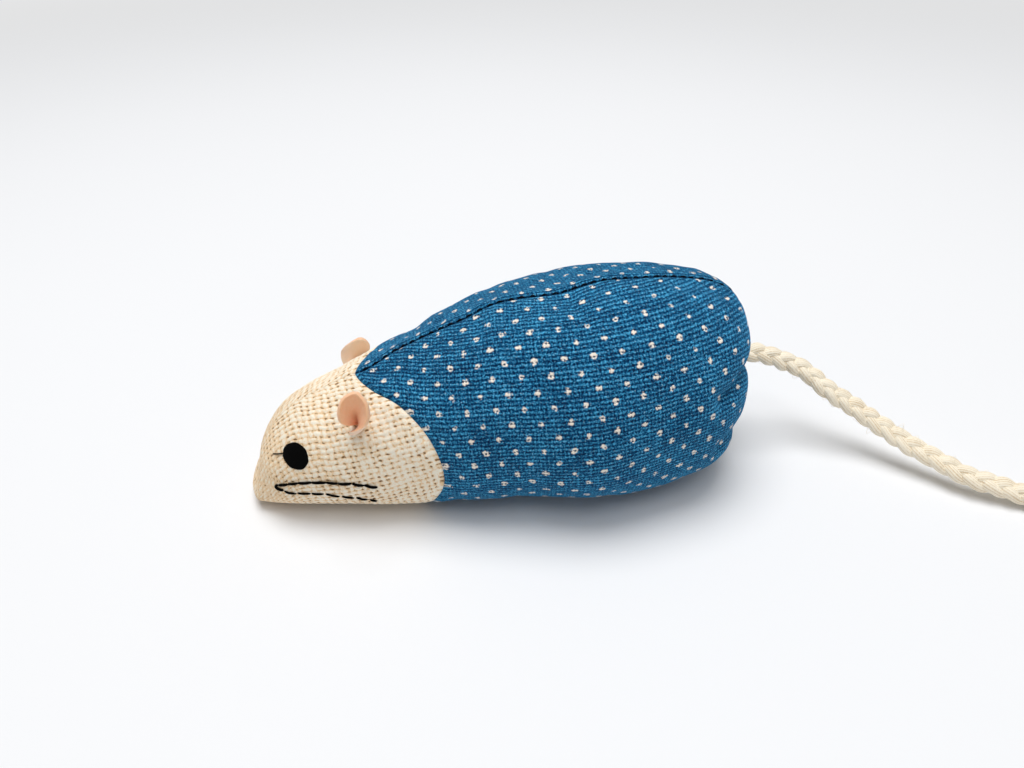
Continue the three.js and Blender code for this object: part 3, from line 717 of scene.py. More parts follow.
def ear_felt():
    """Short-napped peach felt; the shade attribute is 0 deep in the fold, where it paints shade,
    and 1 on the back, where it paints light.
    """
    s = Shader("peach_felt", 0.95, 0.2, 0.6)
    s.set({
        "Subsurface Weight": 0.3, "Subsurface Radius": (1.0, 0.7, 0.5), "Subsurface Scale": 0.0015,
    })
    place = s.place()
    streaks = s.value("Mapping", 0, Vector=place, Scale=(6.0, 6.0, 1.4))
    fibre = (s.noise(place, 6.0, 4.0, 0.75) + s.noise(streaks, 1.0, 3.0, 0.7)) * 0.5
    side = s.number("shade")
    felt = s.mix(s.span(fibre * 1.1, -0.4, 0.4), linear(255, 172, 118), linear(255, 212, 172))
    # painted light: the pale tone on the ears' backs, and partly on their cut edges
    felt = s.mix(s.span(side, 0.25, 1.0), felt, linear(255, 222, 196))
    # painted shade: the dark tone deep in the fold
    felt = s.mix(s.span(side, 0.25, 0.0, 0.0, 0.75), felt, linear(196, 112, 66))
    return s.finish(felt, fibre, 0.0002, 0.8)


def yarn(name, dark, light, roughness, sheen, fine, specular=0.25):
    """Spun yarn; the mesh holds its twist, and the shade attribute paints shade into its hollows.
    """
    s = Shader(name, roughness, sheen, 0.5, specular)
    place = s.place()
    fuzz = s.noise(place, fine, 4.0, 0.7)
    shade = s.number("shade") + fuzz * 0.9 + s.noise(place, 0.35) * 0.4
    colour = s.mix(s.span(shade, 0.1, 0.85, smooth=True), linear(*dark), linear(*light))
    return s.finish(colour, fuzz, 0.00012, 0.8)


def fibre_fill():
    s = Shader("white_fibre", 1.0, 0.3, 0.6)
    fluff = s.noise(s.place(), 0.8, 5.0, 0.75)
    colour = s.mix(s.span(fluff, -0.15, 0.15), linear(222, 222, 216), linear(250, 250, 247))
    return s.finish(colour, fluff, 0.0012, 0.9)


BACKDROP = 0.86
FADE_OUT = (300.0, 1100.0)  # millimetres from the origin where the floor turns into the backdrop
WHITE = (1, 1, 1, 1)


def pale_floor():
    """Plain matt floor that keeps its shadows near the toy and meets the backdrop far away."""
    s = Shader("pale_floor", 0.8, specular=0.0)
    place = s.place()
    x, y, _ = s.split(place)
    reach = s.math("SQRT", x * x + y * y)
    far = s.seen_rays() * s.span(reach, *FADE_OUT, smooth=True)
    glow = s.value("Emission", 0, Color=WHITE, Strength=BACKDROP)
    s.show("Material Output", far, Value(s, s.surface.outputs[0]), glow)
    share = s.noise(place, 0.004) + 0.5
    return s.finish(s.mix(share, linear(238, 239, 241), linear(240, 241, 243)))


BLUE = blue_cotton()
BURLAP = cream_burlap()
FELT = ear_felt()
ROPE_YARN = yarn("cream_rope_yarn", (216, 190, 150), (253, 243, 222), 0.95, 0.15, 3.0)
BLACK_YARN = yarn("black_embroidery", (2, 2, 2), (9, 9, 9), 0.85, 0.0, 7.0, 0.03)
NAVY_YARN = yarn("navy_sewing_thread", (3, 6, 12), (16, 26, 40), 0.8, 0.0, 7.0, 0.06)
CREAM_YARN = yarn("cream_sewing_thread", (180, 150, 115), (232, 214, 184), 0.8, 0.1, 7.0)
FILL = fibre_fill()


def dress(piece, material, body, node):
    piece.data.materials.clear()
    piece.data.materials.append(material)
    if body:
        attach(piece, body)
    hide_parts(node)


# ---------------------------------------------------------------- cloth shells

# How far the sewn back seam wanders off the middle: (x, offset)
SEAM_WANDER = np.array([
    (-34, 0), (-27.5, -1.2), (-22, 0.6), (-16, 0.4), (-13, 0), (-9.8, -0.5), (-6, -1.2), (0, 0.1),
    (5.8, -0.5), (11, -1.5), (15, -1.9), (19, -0.6), (25, 1.1), (34.5, 0.6), (41, 1.5), (47, 2.2),
    (51.4, 2.3), (53.5, 1.4), (57, 0.2),
])
WANDER_REACH = 13
# Gathers beside the back seam and the neck seam: (height, step, reach)
SEAM_GATHERS, NECK_GATHERS = (0.04, 2.6, 2.6), (0.14, 3.0, 2.8)
LUMP_WAVES = 7
FLOOR_GAP = 0.03  # how far the cloth stays above the floor
# Puckers that run down from the back seam: (x, side, length, depth, width, slant)
PUCKERS = [
    (3.6, -1, 9, 0.55, 1.3, 0.12), (9.0, -1, 6, 0.3, 1.0, -0.1), (-4.5, -1, 7, 0.35, 1.2, 0.2),
    (17.5, -1, 8, 0.35, 1.3, 0.0), (27.0, -1, 6, 0.25, 1.1, -0.15), (38.0, -1, 7, 0.35, 1.3, -0.2),
    (-14.0, -1, 6, 0.3, 1.1, 0.2), (46.0, -1, 8, 0.4, 1.4, -0.3), (-22.0, -1, 6, 0.25, 1.2, 0.1),
    (0.0, 1, 8, 0.4, 1.3, 0.1), (12.0, 1, 7, 0.3, 1.2, -0.1), (24.0, 1, 8, 0.4, 1.4, 0.0),
    (36.0, 1, 6, 0.3, 1.2, -0.2), (-12.0, 1, 7, 0.35, 1.2, 0.2), (46.0, 1, 8, 0.4, 1.4, -0.3),
]
# Soft valleys pressed into the rump: (side, points, width, depth, bulge beyond)
CREASES = [
    (
        -1,
        [(58.4, -5, 28.2), (57.6, -9, 29), (56.4, -12.6, 29.6), (53, -17, 29.4), (47, -22, 28.4)],
        1.9, 1.6, 0.4,
    ),
    (-1, [(57.4, -9, 13.6), (55, -15.5, 15), (52, -19, 16.4), (47.5, -22.5, 16.4)], 1.9, 1.2, 0.35),
    (1, [(57.8, 4.0, 26.5), (55.5, 9.5, 29.0), (51.5, 15.5, 31.0)], 2.4, 1.2, 0.6),
    (1, [(57.5, 5.0, 18.0), (54.5, 11.0, 14.5), (50.0, 17.0, 12.0)], 2.2, 1.0, 0.5),
]


def wander(x, away):
    """The back seam's offset at x, fading out with the distance from the seam."""
    fine = np.arange(-40, 62, 0.5)
    kernel = np.exp(-0.5 * (np.arange(-8, 9) / 3.0) ** 2)
    table = np.convolve(np.interp(fine, *SEAM_WANDER.T), kernel / kernel.sum(), mode="same")
    return np.interp(x, fine, table) * bell(away, WANDER_REACH)


def wander_on_top(x, away, turn):
    return wander(x, away) * smoothstep(0.2, 0.7, turn)


def lumps(points, size, seed):
    """Smooth unevenness between about -1 and 1."""
    rng = np.random.default_rng(seed)
    total = 0
    for _ in range(LUMP_WAVES):
        way = unit(rng.normal(size=3)) * 2 * math.pi / (size * rng.uniform(0.75, 1.35))
        total = total + np.sin(points @ way + rng.uniform(0, 2 * math.pi))
    return total / LUMP_WAVES**0.5 / 1.4


def from_line(points, line):
    """Distance from each point to a line of points, in fine steps."""
    line, _ = even(centripetal(line, 40), 0.5)
    away = np.full(points.shape[:-1], 1e9)
    for spot in line:
        away = np.minimum(away, np.linalg.norm(points - spot, axis=-1))
    return away


def skin_frame(row, turn):
    """Point, outward normal and millimetres per row on the bare skin's right half."""
    row, turn = np.broadcast_arrays(np.asarray(row, float), np.asarray(turn, float))

    def at(r, t):
        return skin(station_of(r, t), t)

    e = 2e-3
    low, high = np.clip(row - e, 0, 2), np.clip(row + e, 0, 2)
    forward = at(high, turn) - at(low, turn)
    rising = at(row, np.clip(turn + e, -1, 1)) - at(row, np.clip(turn - e, -1, 1))
    normal = unit(np.cross(rising, forward))
    normal = np.where((row < 1e-3)[..., None], (-1.0, 0.0, 0.0), normal)
    return at(row, turn), normal, np.linalg.norm(forward, axis=-1) / (high - low)


def muzzle(points):
    """How far back the nose's front is pressed: hollow above, full where it rests."""
    z = points[..., 2]
    push = 1.1 * bell(z - 9.5, 4.2) - 0.9 * bell(z - 2, 2.4)
    return smoothstep(-50, -57.5, points[..., 0]) * push


def groove(away, depth, reach):
    return depth * (1 - np.clip(away / reach, 0, 1)) ** 2


def gathers(away, line, side, height, step, reach):
    """Small folds that the thread pulls up beside a seam."""
    pull = bell(away, reach) * smoothstep(0.0, 0.8, away)
    return height * pull * np.sin(2 * math.pi * line / step + side)


def surface(row, turn, side, inset=0.0):
    """The toy's own surface at rows and turns on one side, without its weave."""
    point, normal, per_row = skin_frame(row, turn)
    row, turn = np.broadcast_arrays(np.asarray(row, float), np.asarray(turn, float))
    x, y = point[..., 0], point[..., 1]
    station = station_of(row, turn)
    away = girth(station, turn)
    near_edge = np.minimum(away, girth(station, np.full_like(turn, -1.0)) - away)
    neck_away = np.abs(row - 1) * per_row
    free = smoothstep(0.0, 6.0, near_edge) * smoothstep(0.0, 5.0, neck_away)
    mirrored = point * (1, side, 1)
    body = row > 1
    # the stuffing's push and soft lumps; the head is sewn tighter than the body
    swell = swell_at(row, turn, side) * np.where(body, 0.9, 0.4)
    swell = swell + lumps(mirrored, 26, 5 + side) * np.where(body, 0.35, 0.2)
    swell = swell + lumps(mirrored, 9, 15 + side) * 0.12
    swell = swell * free * smoothstep(0.02, 0.25, row) * smoothstep(0.0, 0.12, 2 - row)
    # the dips to the seams, and the gathers beside them
    pressed = np.where(body, 1, 0.2)
    swell = swell - np.maximum(
        pressed * groove(y - HALF_GAP, SEAM_DIP, SEAM_DIP_REACH),
        groove(neck_away, NECK_DIP, NECK_DIP_REACH),
    )
    swell = swell + pressed * gathers(near_edge, x, side, *SEAM_GATHERS)
    swell = swell + gathers(neck_away, away, side, *NECK_GATHERS)
    for place, which, length, depth, width, slant in PUCKERS:
        if which == side:
            across = x - place - slant * away
            lip = bell(np.abs(across) - 2 * width, width)
            fold = (0.35 * lip - bell(across, width)) * bell(away, length)
            swell = swell + fold * 0.6 * depth * smoothstep(0.2, 2.5, away)
    for which, line, width, depth, bulge in CREASES:
        if which == side:
            gap = from_line(mirrored, line)
            swell = swell - depth * bell(gap, width) + bulge * bell(gap - 2.6 * width, 1.7 * width)
    if side > 0:
        # a wide hollow beside the back seam, next to the neck
        swell = swell - 1.2 * bell(x + 19, 5) * bell(near_edge, 11) * free
    out = point + normal * (swell - inset)[..., None]
    closed = np.where(body, 0, HALF_GAP * 0.85)
    out[..., 1] = np.maximum(out[..., 1] - closed, HALF_GAP + min(inset, CLOTH) - closed)
    out[..., 0] += muzzle(out)
    out = out * (1, side, 1)
    out[..., 1] += wander_on_top(out[..., 0], away, turn)
    out[..., 2] = np.maximum(out[..., 2], FLOOR_GAP + inset)
    return out, normal * (1, side, 1), away


def run_of(station):
    """Distance along the back, equal to x over most of the toy and longer round its two ends."""
    fine = np.linspace(0, 1, 400)
    line = skin(fine, 0.3)
    arc, x = reach_along(line), line[:, 0]
    head, tail = (int(np.argmax(x > limit)) for limit in (-50, 52))
    run = x.copy()
    run[:head] = x[head] - (arc[head] - arc[:head])
    run[tail:] = x[tail] + (arc[tail:] - arc[tail])
    return np.interp(station, fine, run)


# Printed lattice over the body, fitted to where its dots lie: powers of x and girth
LATTICE_POWERS = [(p, q) for p in range(5) for q in range(5 - p)]
LATTICE_COLUMN = (
    -2.178, -0.224, -0.635, 0.51, -0.088, 13.787, -0.193, 0.388, -0.154, -0.511, 0.309, 0.366,
    -1.057, 0.202, 0.688,
)
LATTICE_ROW = (
    0.623, 9.374, 0.713, 0.145, -0.178, -4.129, -0.911, 0.154, -0.093, 3.527, 0.093, 0.924,
    0.105, 0.862, 0.298,
)


def lattice(run, away):
    """The dot lattice's column and row numbers on the near side, straight on past its limits."""

    def at(x, g):
        x, g = x / 40, (g - 25) / 30
        terms = [x**p * g**q for p, q in LATTICE_POWERS]
        tables = (LATTICE_COLUMN, LATTICE_ROW)
        return np.stack([sum(c * t for c, t in zip(table, terms)) for table in tables], -1)

    x, g = np.clip(run, -31, 52), np.clip(away, -4, 58)
    e = 0.5
    value = at(x, g)
    by_x = (at(x, g) - at(x - e, g)) / e
    by_g = (at(x, g) - at(x, g - e)) / e
    return value + by_x * (run - x)[..., None] + by_g * (away - g)[..., None]


def lattice_stretch(points, weave):
    """How a lattice step really measures and leans, so that the printed dots stay round.

    True over written length of a column step and a row step, and twice the cosine between them."""
    by_r, by_c = np.gradient(points, axis=(0, 1))
    w_r, w_c = np.gradient(weave, axis=(0, 1))
    det = w_r[..., 0] * w_c[..., 1] - w_c[..., 0] * w_r[..., 1]
    det = np.where(np.abs(det) < 1e-6, 1e-6, det)[..., None]
    by_a = (by_r * w_c[..., 1:] - by_c * w_r[..., 1:]) / det
    by_b = (by_c * w_r[..., :1] - by_r * w_c[..., :1]) / det
    lean = 2 * (unit(by_a) * unit(by_b)).sum(-1)
    scale = [np.linalg.norm(way, axis=-1) / step for way, step in zip((by_a, by_b), DOT_STEP)]
    return np.stack([*np.clip(scale, 0.4, 1.8), np.clip(lean, -1.7, 1.7)], -1)


def burlap_threads(run, away):
    """Warp and weft numbers over the head."""
    warp = 0.664 * run - 0.1 * away
    weft = 0.77 * away - 0.19 * (run + 28) + 0.005 * np.clip(run + 28, -18, 14) ** 2
    return np.stack([warp, weft], -1)


def burlap_relief(threads, points):
    """Height of thick uneven yarns in a plain weave, about -1 to 1.4."""
    rng = np.random.default_rng(21)
    a = threads[..., 0] + 0.17 * lumps(points, 7, 31) + 0.09 * lumps(points, 2.6, 33)
    b = threads[..., 1] + 0.17 * lumps(points, 6, 32) + 0.09 * lumps(points, 2.3, 34)
    yarns = []
    for value, other, low, high in ((a, b, 0.36, 0.5), (b, a, 0.42, 0.56)):
        number = np.round(value).astype(int)
        table = rng.uniform(low, high, YARN_TABLE)
        slub = rng.uniform(0, 2 * math.pi, YARN_TABLE)
        kind = number % YARN_TABLE
        part = (value - number) / (table[kind] + 0.06 * np.sin(other * 1.3 + slub[kind]))
        yarns.append(np.sqrt(np.clip(1 - part**2, 0, 1)) - (np.abs(part) > 1) * 0.4)
    over = np.cos(math.pi * a) * np.cos(math.pi * b)
    return np.maximum(yarns[0] * 0.95 - 0.42 * over, yarns[1] * 1.05 + 0.42 * over)


BURLAP_HEIGHT = 0.23
YARN_TABLE = 4001  # random yarn widths that are drawn
FLANGE_DEPTHS = (0.5, 1.2, 2.2, 3.2)
NECK_DEPTHS = (NECK_DIP, 1.6, GROOVE_DEPTH + NECK_ALLOWANCE)
NECK_SLIT = 0.03
HEAD_STEP, BODY_STEP = 0.26, 0.5  # between the points of the cloths' outer faces
MOUTH_RINGS = ((57.6, 2.9), (57.1, 2.75), (55.2, 2.75), (53.1, 2.75))  # (x, radius)


def edge_faces(fine, coarse, marks):
    """Joins an edge's fine points to its coarse ones, one of which stands at each mark."""
    fine, coarse = fine.tolist(), coarse.tolist()
    faces = []
    for k in range(len(coarse) - 1):
        low, high = marks[k], marks[k + 1]
        middle = (low + high) // 2
        for m in range(low, high):
            faces.append((fine[m], fine[m + 1], coarse[k] if m < middle else coarse[k + 1]))
        faces.append((fine[middle], coarse[k + 1], coarse[k]))
    return faces


def shell(name, outer, inner, attributes, skip):
    """A closed panel: a fine outer face, a coarser inner face and the edge between them."""
    rows, columns = outer.shape[:2]
    kept_r = sorted({*range(0, rows, skip), rows - 1})
    kept_c = sorted({*range(0, columns, skip), columns - 1})
    grid = np.arange(rows * columns).reshape(rows, columns)
    lower = grid.size + np.arange(len(kept_r) * len(kept_c)).reshape(len(kept_r), len(kept_c))

    def listed(upper, under):
        width = upper.shape[2:]
        under = under[np.ix_(kept_r, kept_c)]
        return np.concatenate([upper.reshape(-1, *width), under.reshape(-1, *width)])

    faces = []
    for sheet in (grid, lower[:, ::-1]):
        quads = np.stack([sheet[:-1, :-1], sheet[:-1, 1:], sheet[1:, 1:], sheet[1:, :-1]], -1)
        faces += quads.reshape(-1, 4).tolist()
    for end in (0, -1):
        faces += edge_faces(grid[end], lower[end], kept_c)
        faces += edge_faces(grid[:, end], lower[:, end], kept_r)
    values = {key: listed(table, table) for key, table in attributes.items()}
    return add_mesh(name, listed(outer, inner), faces, values)


def add_flanges(outer, inner, side):
    """Turns a panel's long edges in: extra columns that run down into the seam."""
    room = 0.12 * (outer[:, 0, 2] - outer[:, -1, 2])
    share = (np.minimum(SEAM_ALLOWANCE, room) / SEAM_ALLOWANCE)[:, None]
    for end, way in ((0, -1), (-1, 1)):
        outs, ins = [outer], [inner]
        for depth in FLANGE_DEPTHS:
            at = outer[:, [end]].copy()
            at[..., 2] += depth * share * way
            back = at.copy()
            back[..., 1] += side * CLOTH * np.minimum(share * 2, 1)
            back[..., 2] -= way * 0.02
            outs.append(at)
            ins.append(back)
        order = 1 if end else -1
        outer, inner = np.concatenate(outs[::order], 1), np.concatenate(ins[::order], 1)
    return outer, inner


def pad_columns(table):
    """Repeats a table's first and last column for the edges that are turned in."""
    extra = len(FLANGE_DEPTHS)
    return np.concatenate([table[:, :1]] * extra + [table] + [table[:, -1:]] * extra, 1)


def neck_flange(turns, side, ahead):
    """Outer and inner rows turned in at the neck seam, on the head's side or on the body's."""
    point, normal, _ = skin_frame(np.ones_like(turns), turns)
    station = neck_station(turns)
    across = unit(np.cross(normal, unit(np.gradient(skin(station, turns), axis=0))))
    across = across * np.where(across[:, :1] > 0, 1, -1)
    rows = []
    for depth in NECK_DEPTHS:
        for shift in (NECK_SLIT, NECK_SLIT + CLOTH):
            at = point - normal * depth + across * (-shift if ahead else shift)
            at[:, 1] = np.maximum(at[:, 1], HALF_GAP + shift)
            at = at * (1, side, 1)
            at[:, 1] += wander_on_top(at[:, 0], girth(station, turns), turns)
            at[:, 2] = np.maximum(at[:, 2], FLOOR_GAP)
            rows.append(at)
    return np.array(rows[::2]), np.array(rows[1::2])


def panel_faces(rows, turns, side):
    """A panel's outer and inner face, outward normals, and its distances along and round."""
    row, turn = rows[:, None], turns[None]
    outer, normal, away = surface(row, turn, side)
    inner, _, _ = surface(row, turn, side, CLOTH)
    return outer, inner, normal, run_of(station_of(row, turn)), away


def head_shell(name, side):
    rows = even_rows(0.0, 1.0, HEAD_STEP)
    rows = rows[rows < 0.994]
    turns = even_turns(HEAD_STEP, 0.31)
    outer, inner, normal, run, away = panel_faces(rows, turns, side)
    threads = burlap_threads(run, away)
    if side > 0:
        threads = threads + 7.3  # so that the two sides don't mirror each other's yarns
    height = burlap_relief(threads, outer)
    x, seam_away = outer[..., 0], np.abs(outer[..., 1]) - HALF_GAP
    fade = smoothstep(0.0, 0.35, seam_away) * smoothstep(0.0, 0.03, 1 - rows)[:, None]
    finer = 0.45 + 0.55 * smoothstep(-55, -42, x) + 0.4 * smoothstep(-42, -30, x)
    height = 0.75 + (height - 0.75) * finer
    lift = BURLAP_HEIGHT * (height - 0.55) * (0.35 + 0.65 * fade) * trim_mask(outer, side)
    outer = outer + normal * lift[..., None]
    outer[..., 2] = np.maximum(outer[..., 2], 0.02)
    edge_out, edge_in = neck_flange(turns, side, ahead=True)
    outer, inner = np.concatenate([outer, edge_out]), np.concatenate([inner, edge_in])
    outer, inner = add_flanges(outer, inner, side)
    threads, height = (
        pad_columns(np.concatenate([table, np.repeat(table[-1:], len(edge_out), 0)]))
        for table in (threads, height)
    )
    weave = np.concatenate([threads, np.zeros((*threads.shape[:2], 1))], -1)
    layers = {"weave": weave, "relief": np.clip(height, 0, 1.5) / 1.5}
    return shell(name, outer, inner, layers, 4)


def body_shell(name, side):
    rows = even_rows(1.0, 2.0, BODY_STEP)
    rows = rows[rows > 1.006]
    turns = even_turns(BODY_STEP)
    outer, inner, _, run, away = panel_faces(rows, turns, side)
    if side < 0:
        weave = lattice(run, away)
    else:
        weave = np.stack([run / DOT_STEP[0] + 0.6, away / DOT_STEP[1] + 0.45], -1)
    weave = np.concatenate([weave, lattice_stretch(outer, weave)], -1)
    edge_out, edge_in = (edge[::-1] for edge in neck_flange(turns, side, ahead=False))
    # the cloth turned in round the rope
    angle = turns * math.pi / 2
    mouth = []
    for x, radius in MOUTH_RINGS:
        for thick in (0, CLOTH):
            reach = radius + thick
            y = side * np.maximum(HALF_GAP + reach * np.cos(angle), HALF_GAP + thick)
            z = TAIL_Z + reach * np.sin(angle)
            mouth.append(np.stack([np.full_like(turns, x - 0.15 * thick), y, z], -1))
    outer = np.concatenate([edge_out, outer, mouth[::2]])
    inner = np.concatenate([edge_in, inner, mouth[1::2]])
    before = np.repeat(weave[:1], len(edge_out), 0)
    after = np.repeat(weave[-1:], len(MOUTH_RINGS), 0)
    outer, inner = add_flanges(outer, inner, side)
    weave = pad_columns(np.concatenate([before, weave, after]))
    return shell(name, outer, inner, {"weave": weave[..., :3], "stretch": weave[..., 2:]}, 2)


# ---------------------------------------------------------------- trims

EYE_PLACE = np.array((-45.746, 11.645, 18.528))
EYE_OUT = np.array((-0.422, 0.761, 0.493))
EYE_SHIFT = np.array((-0.35, -0.25, 0.0))
# Each ear's foot and the way out of the cloth there, on the right half; how many degrees it
# leans back and out; its height's share; how much of the rear fold it has; how much its front
# half narrows to the tip and to the foot; and whether its rear half wraps over at the foot
EARS = {
    -1: dict(
        place=(-30.929, 12.404, 26.496), out=(-0.3525, 0.6828, 0.6399),
        back=8, away=4, tall=0.8, rear=1, slim=0, foot=0.5, wrap=1,
    ),
    1: dict(
        place=(-32.693, 14.534, 22.56), out=(-0.3141, 0.8237, 0.472),
        back=29, away=-14, tall=0.87, rear=0.4, slim=0.5, foot=0.2, wrap=0,
    ),
}


def trim_mask(points, side):
    """Less relief under the eye and the ear's foot, where stitches flatten the cloth."""
    mask = 1
    for place, reach in ((EYE_PLACE, 3.6), (np.array(EARS[side]["place"]), 2.2)):
        away = np.linalg.norm(points - place * (1, side, 1), axis=-1)
        mask = mask * (1 - 0.7 * np.exp(-((away / reach) ** 4)))
    return mask


def tree_of(piece):
    mesh = piece.data
    points = [v.co / MM for v in mesh.vertices]
    return BVHTree.FromPolygons(points, [tuple(p.vertices) for p in mesh.polygons])


def land(tree, points, way):
    """Where lines through points along way first meet the cloth, in millimetres."""
    way = Vector(way).normalized()
    out, normals = [], []
    for p in points:
        hit, normal, _, _ = tree.ray_cast(Vector(p) - way * 14, way)
        if hit is None:
            hit, normal, _, _ = tree.find_nearest(Vector(p))
        out.append(hit[:])
        normals.append(normal[:] if normal.dot(way) < 0 else (-normal)[:])
    return np.array(out), np.array(normals)


EYE_RINGS, EYE_SECTORS = 26, 96
EYE_RADII = (3.4, 2.94)
EYE_TILT = math.radians(18)
EYE_THREAD = 0.42  # millimetres from one satin stitch to the next
FAR_EYE_DROP = 0.7


def embroidered_eye(name, side, tree):
    """A domed pad of satin stitches whose ends sink into the cloth."""
    parts = Parts()
    normal = EYE_OUT * (1, side, 1)
    across = unit(np.cross((0, 0, 1), normal)) * side
    up = np.cross(normal, across) * side
    centre = (EYE_PLACE + EYE_SHIFT - (0, 0, FAR_EYE_DROP * (side > 0))) * (1, side, 1)
    ring = np.linspace(0, 1, EYE_RINGS)[:, None]
    angle = circle(EYE_SECTORS)
    outline = 1 + 0.02 * np.cos(3 * angle + 0.6) + 0.012 * np.sin(7 * angle)
    outline = outline + 0.009 * np.sin(29 * angle) + 0.008 * np.sin(41 * angle + 1)
    long = EYE_RADII[0] * ring * (np.cos(angle) * outline)
    wide = EYE_RADII[1] * ring * (np.sin(angle) * outline)
    c, s = math.cos(EYE_TILT), math.sin(EYE_TILT)
    long_way, wide_way = c * across + s * up, c * up - s * across
    spots = centre + long[..., None] * long_way + wide[..., None] * wide_way
    base, _ = land(tree, spots.reshape(-1, 3), -normal)
    depth = ((base - centre) @ normal).reshape(EYE_RINGS, EYE_SECTORS)
    level = depth.mean(1, keepdims=True)
    depth = level + (depth - level) * ring**2
    dome = 0.55 * np.sqrt(np.clip(1 - ring**2.6, 0, 1))
    thread = np.abs(np.cos(math.pi * (long * 0.94 + wide * 0.34) / EYE_THREAD))
    height = depth + 0.04 + dome + 0.07 * thread * (1 - 0.4 * ring)
    spots = spots - ((spots - centre) @ normal)[..., None] * normal
    top, under = (spots + out[..., None] * normal for out in (height, depth - 0.25))
    points = np.concatenate([*top[1:], under[-1], [top[0].mean(0), under[0].mean(0)]])
    # shade attribute: painted shade between the satin stitches and under the pad
    shade = np.concatenate([*thread[1:], thread[-1] * 0, [0.5, 0.0]])
    parts.add(points, ring_faces(EYE_RINGS, EYE_SECTORS), shade)
    if side < 0:
        # a loose thread end in front of the near eye
        t = np.linspace(0, 1, 14)[:, None]
        ahead = across * np.sign(-across[0])
        start = centre + ahead * 2.6 + up * 0.1
        tail = start + ahead * 3.6 * t + up * (-1.3 * t + 0.2 * t**2) + normal * 0.35
        base, _ = land(tree, tail, -normal)
        parts.tube(base + normal * (0.22 + 0.12 * np.sin(t * 5)), 0.16, 7, 0.4)
    return parts.piece(name)


CHEEK_LINE_SHARES = [
    (0.254, 0.254), (0.228, 0.268), (0.19, 0.276), (0.149, 0.274), (0.11, 0.264), (0.082, 0.24),
    (0.06, 0.212), (0.074, 0.192), (0.098, 0.191), (0.13, 0.2), (0.175, 0.19), (0.215, 0.172),
    (0.25, 0.15),
]


def cheek_line(name, side, tree):
    """Backstitches that lie on the cloth, each end sunk into the last one's hole."""
    line = [(x * LENGTH - LENGTH / 2, 24 * side, z * HEIGHT) for x, z in CHEEK_LINE_SHARES]
    spots, normals = land(tree, centripetal(line, 160), (0, -side, 0))
    spots, normals = smoothed(spots, 6), unit(smoothed(normals, 12))
    path, at = even(spots, 0.2)
    normals = between(at, reach_along(spots), normals)
    parts = Parts()
    rng = np.random.default_rng(40 + side)
    start, total = 0.0, at[-1]
    while start < total - 1:
        share = start / total
        long = rng.uniform(2.5, 3.3)
        gap = 0.08 if share < 0.62 else rng.uniform(0.15, 0.55)
        thick = 0.33 if share < 0.55 else 0.26
        inside = (at >= start) & (at <= min(start + long, total))
        if inside.sum() > 3:
            t = np.linspace(0, 1, inside.sum())
            bow = np.sin(math.pi * t) ** 0.45
            lift = thick * (0.15 + 0.85 * bow) - 0.05
            sway = np.cross(normals[inside], np.gradient(path[inside], axis=0))
            spot = path[inside] + normals[inside] * lift[:, None]
            spot = spot + unit(sway) * (rng.uniform(-0.09, 0.09) * (2 * t - 1))[:, None]
            spin = np.arange(12) * math.pi / 3 + at[inside][:, None] * 5.5
            ply = np.abs(np.cos(spin / 2))
            radius = thick * (0.72 + 0.28 * bow)[:, None] * (0.93 + 0.1 * ply)
            # ply shade: painted shade between the thread's plies
            parts.tube(spot, radius, 12, ply * 0.8)
        start += long + gap
    return parts.piece(name)


EAR_HEIGHT, EAR_WIDTH, EAR_THICK = 9.7, 7, 1
EAR_EDGE = ((0.2, 0.14), (0.5, 0.2), (0.8, 0.14))  # shares through the felt and the edge's bulge
# Shares of the way up and of half the width, and the fold of the front and the rear half
EAR_OUTLINE = np.array([
    (0, 0.2, 74, 102), (0.14, 0.4, 70, 93), (0.32, 0.7, 64, 74), (0.52, 0.95, 56, 52),
    (0.7, 0.98, 46, 38), (0.86, 0.76, 33, 26), (0.96, 0.4, 20, 18), (1, 0, 15, 15),
])


def bezier(a, b, c, t):
    t = t[:, None]
    return a * (1 - t) ** 2 + 2 * b * t * (1 - t) + c * t**2


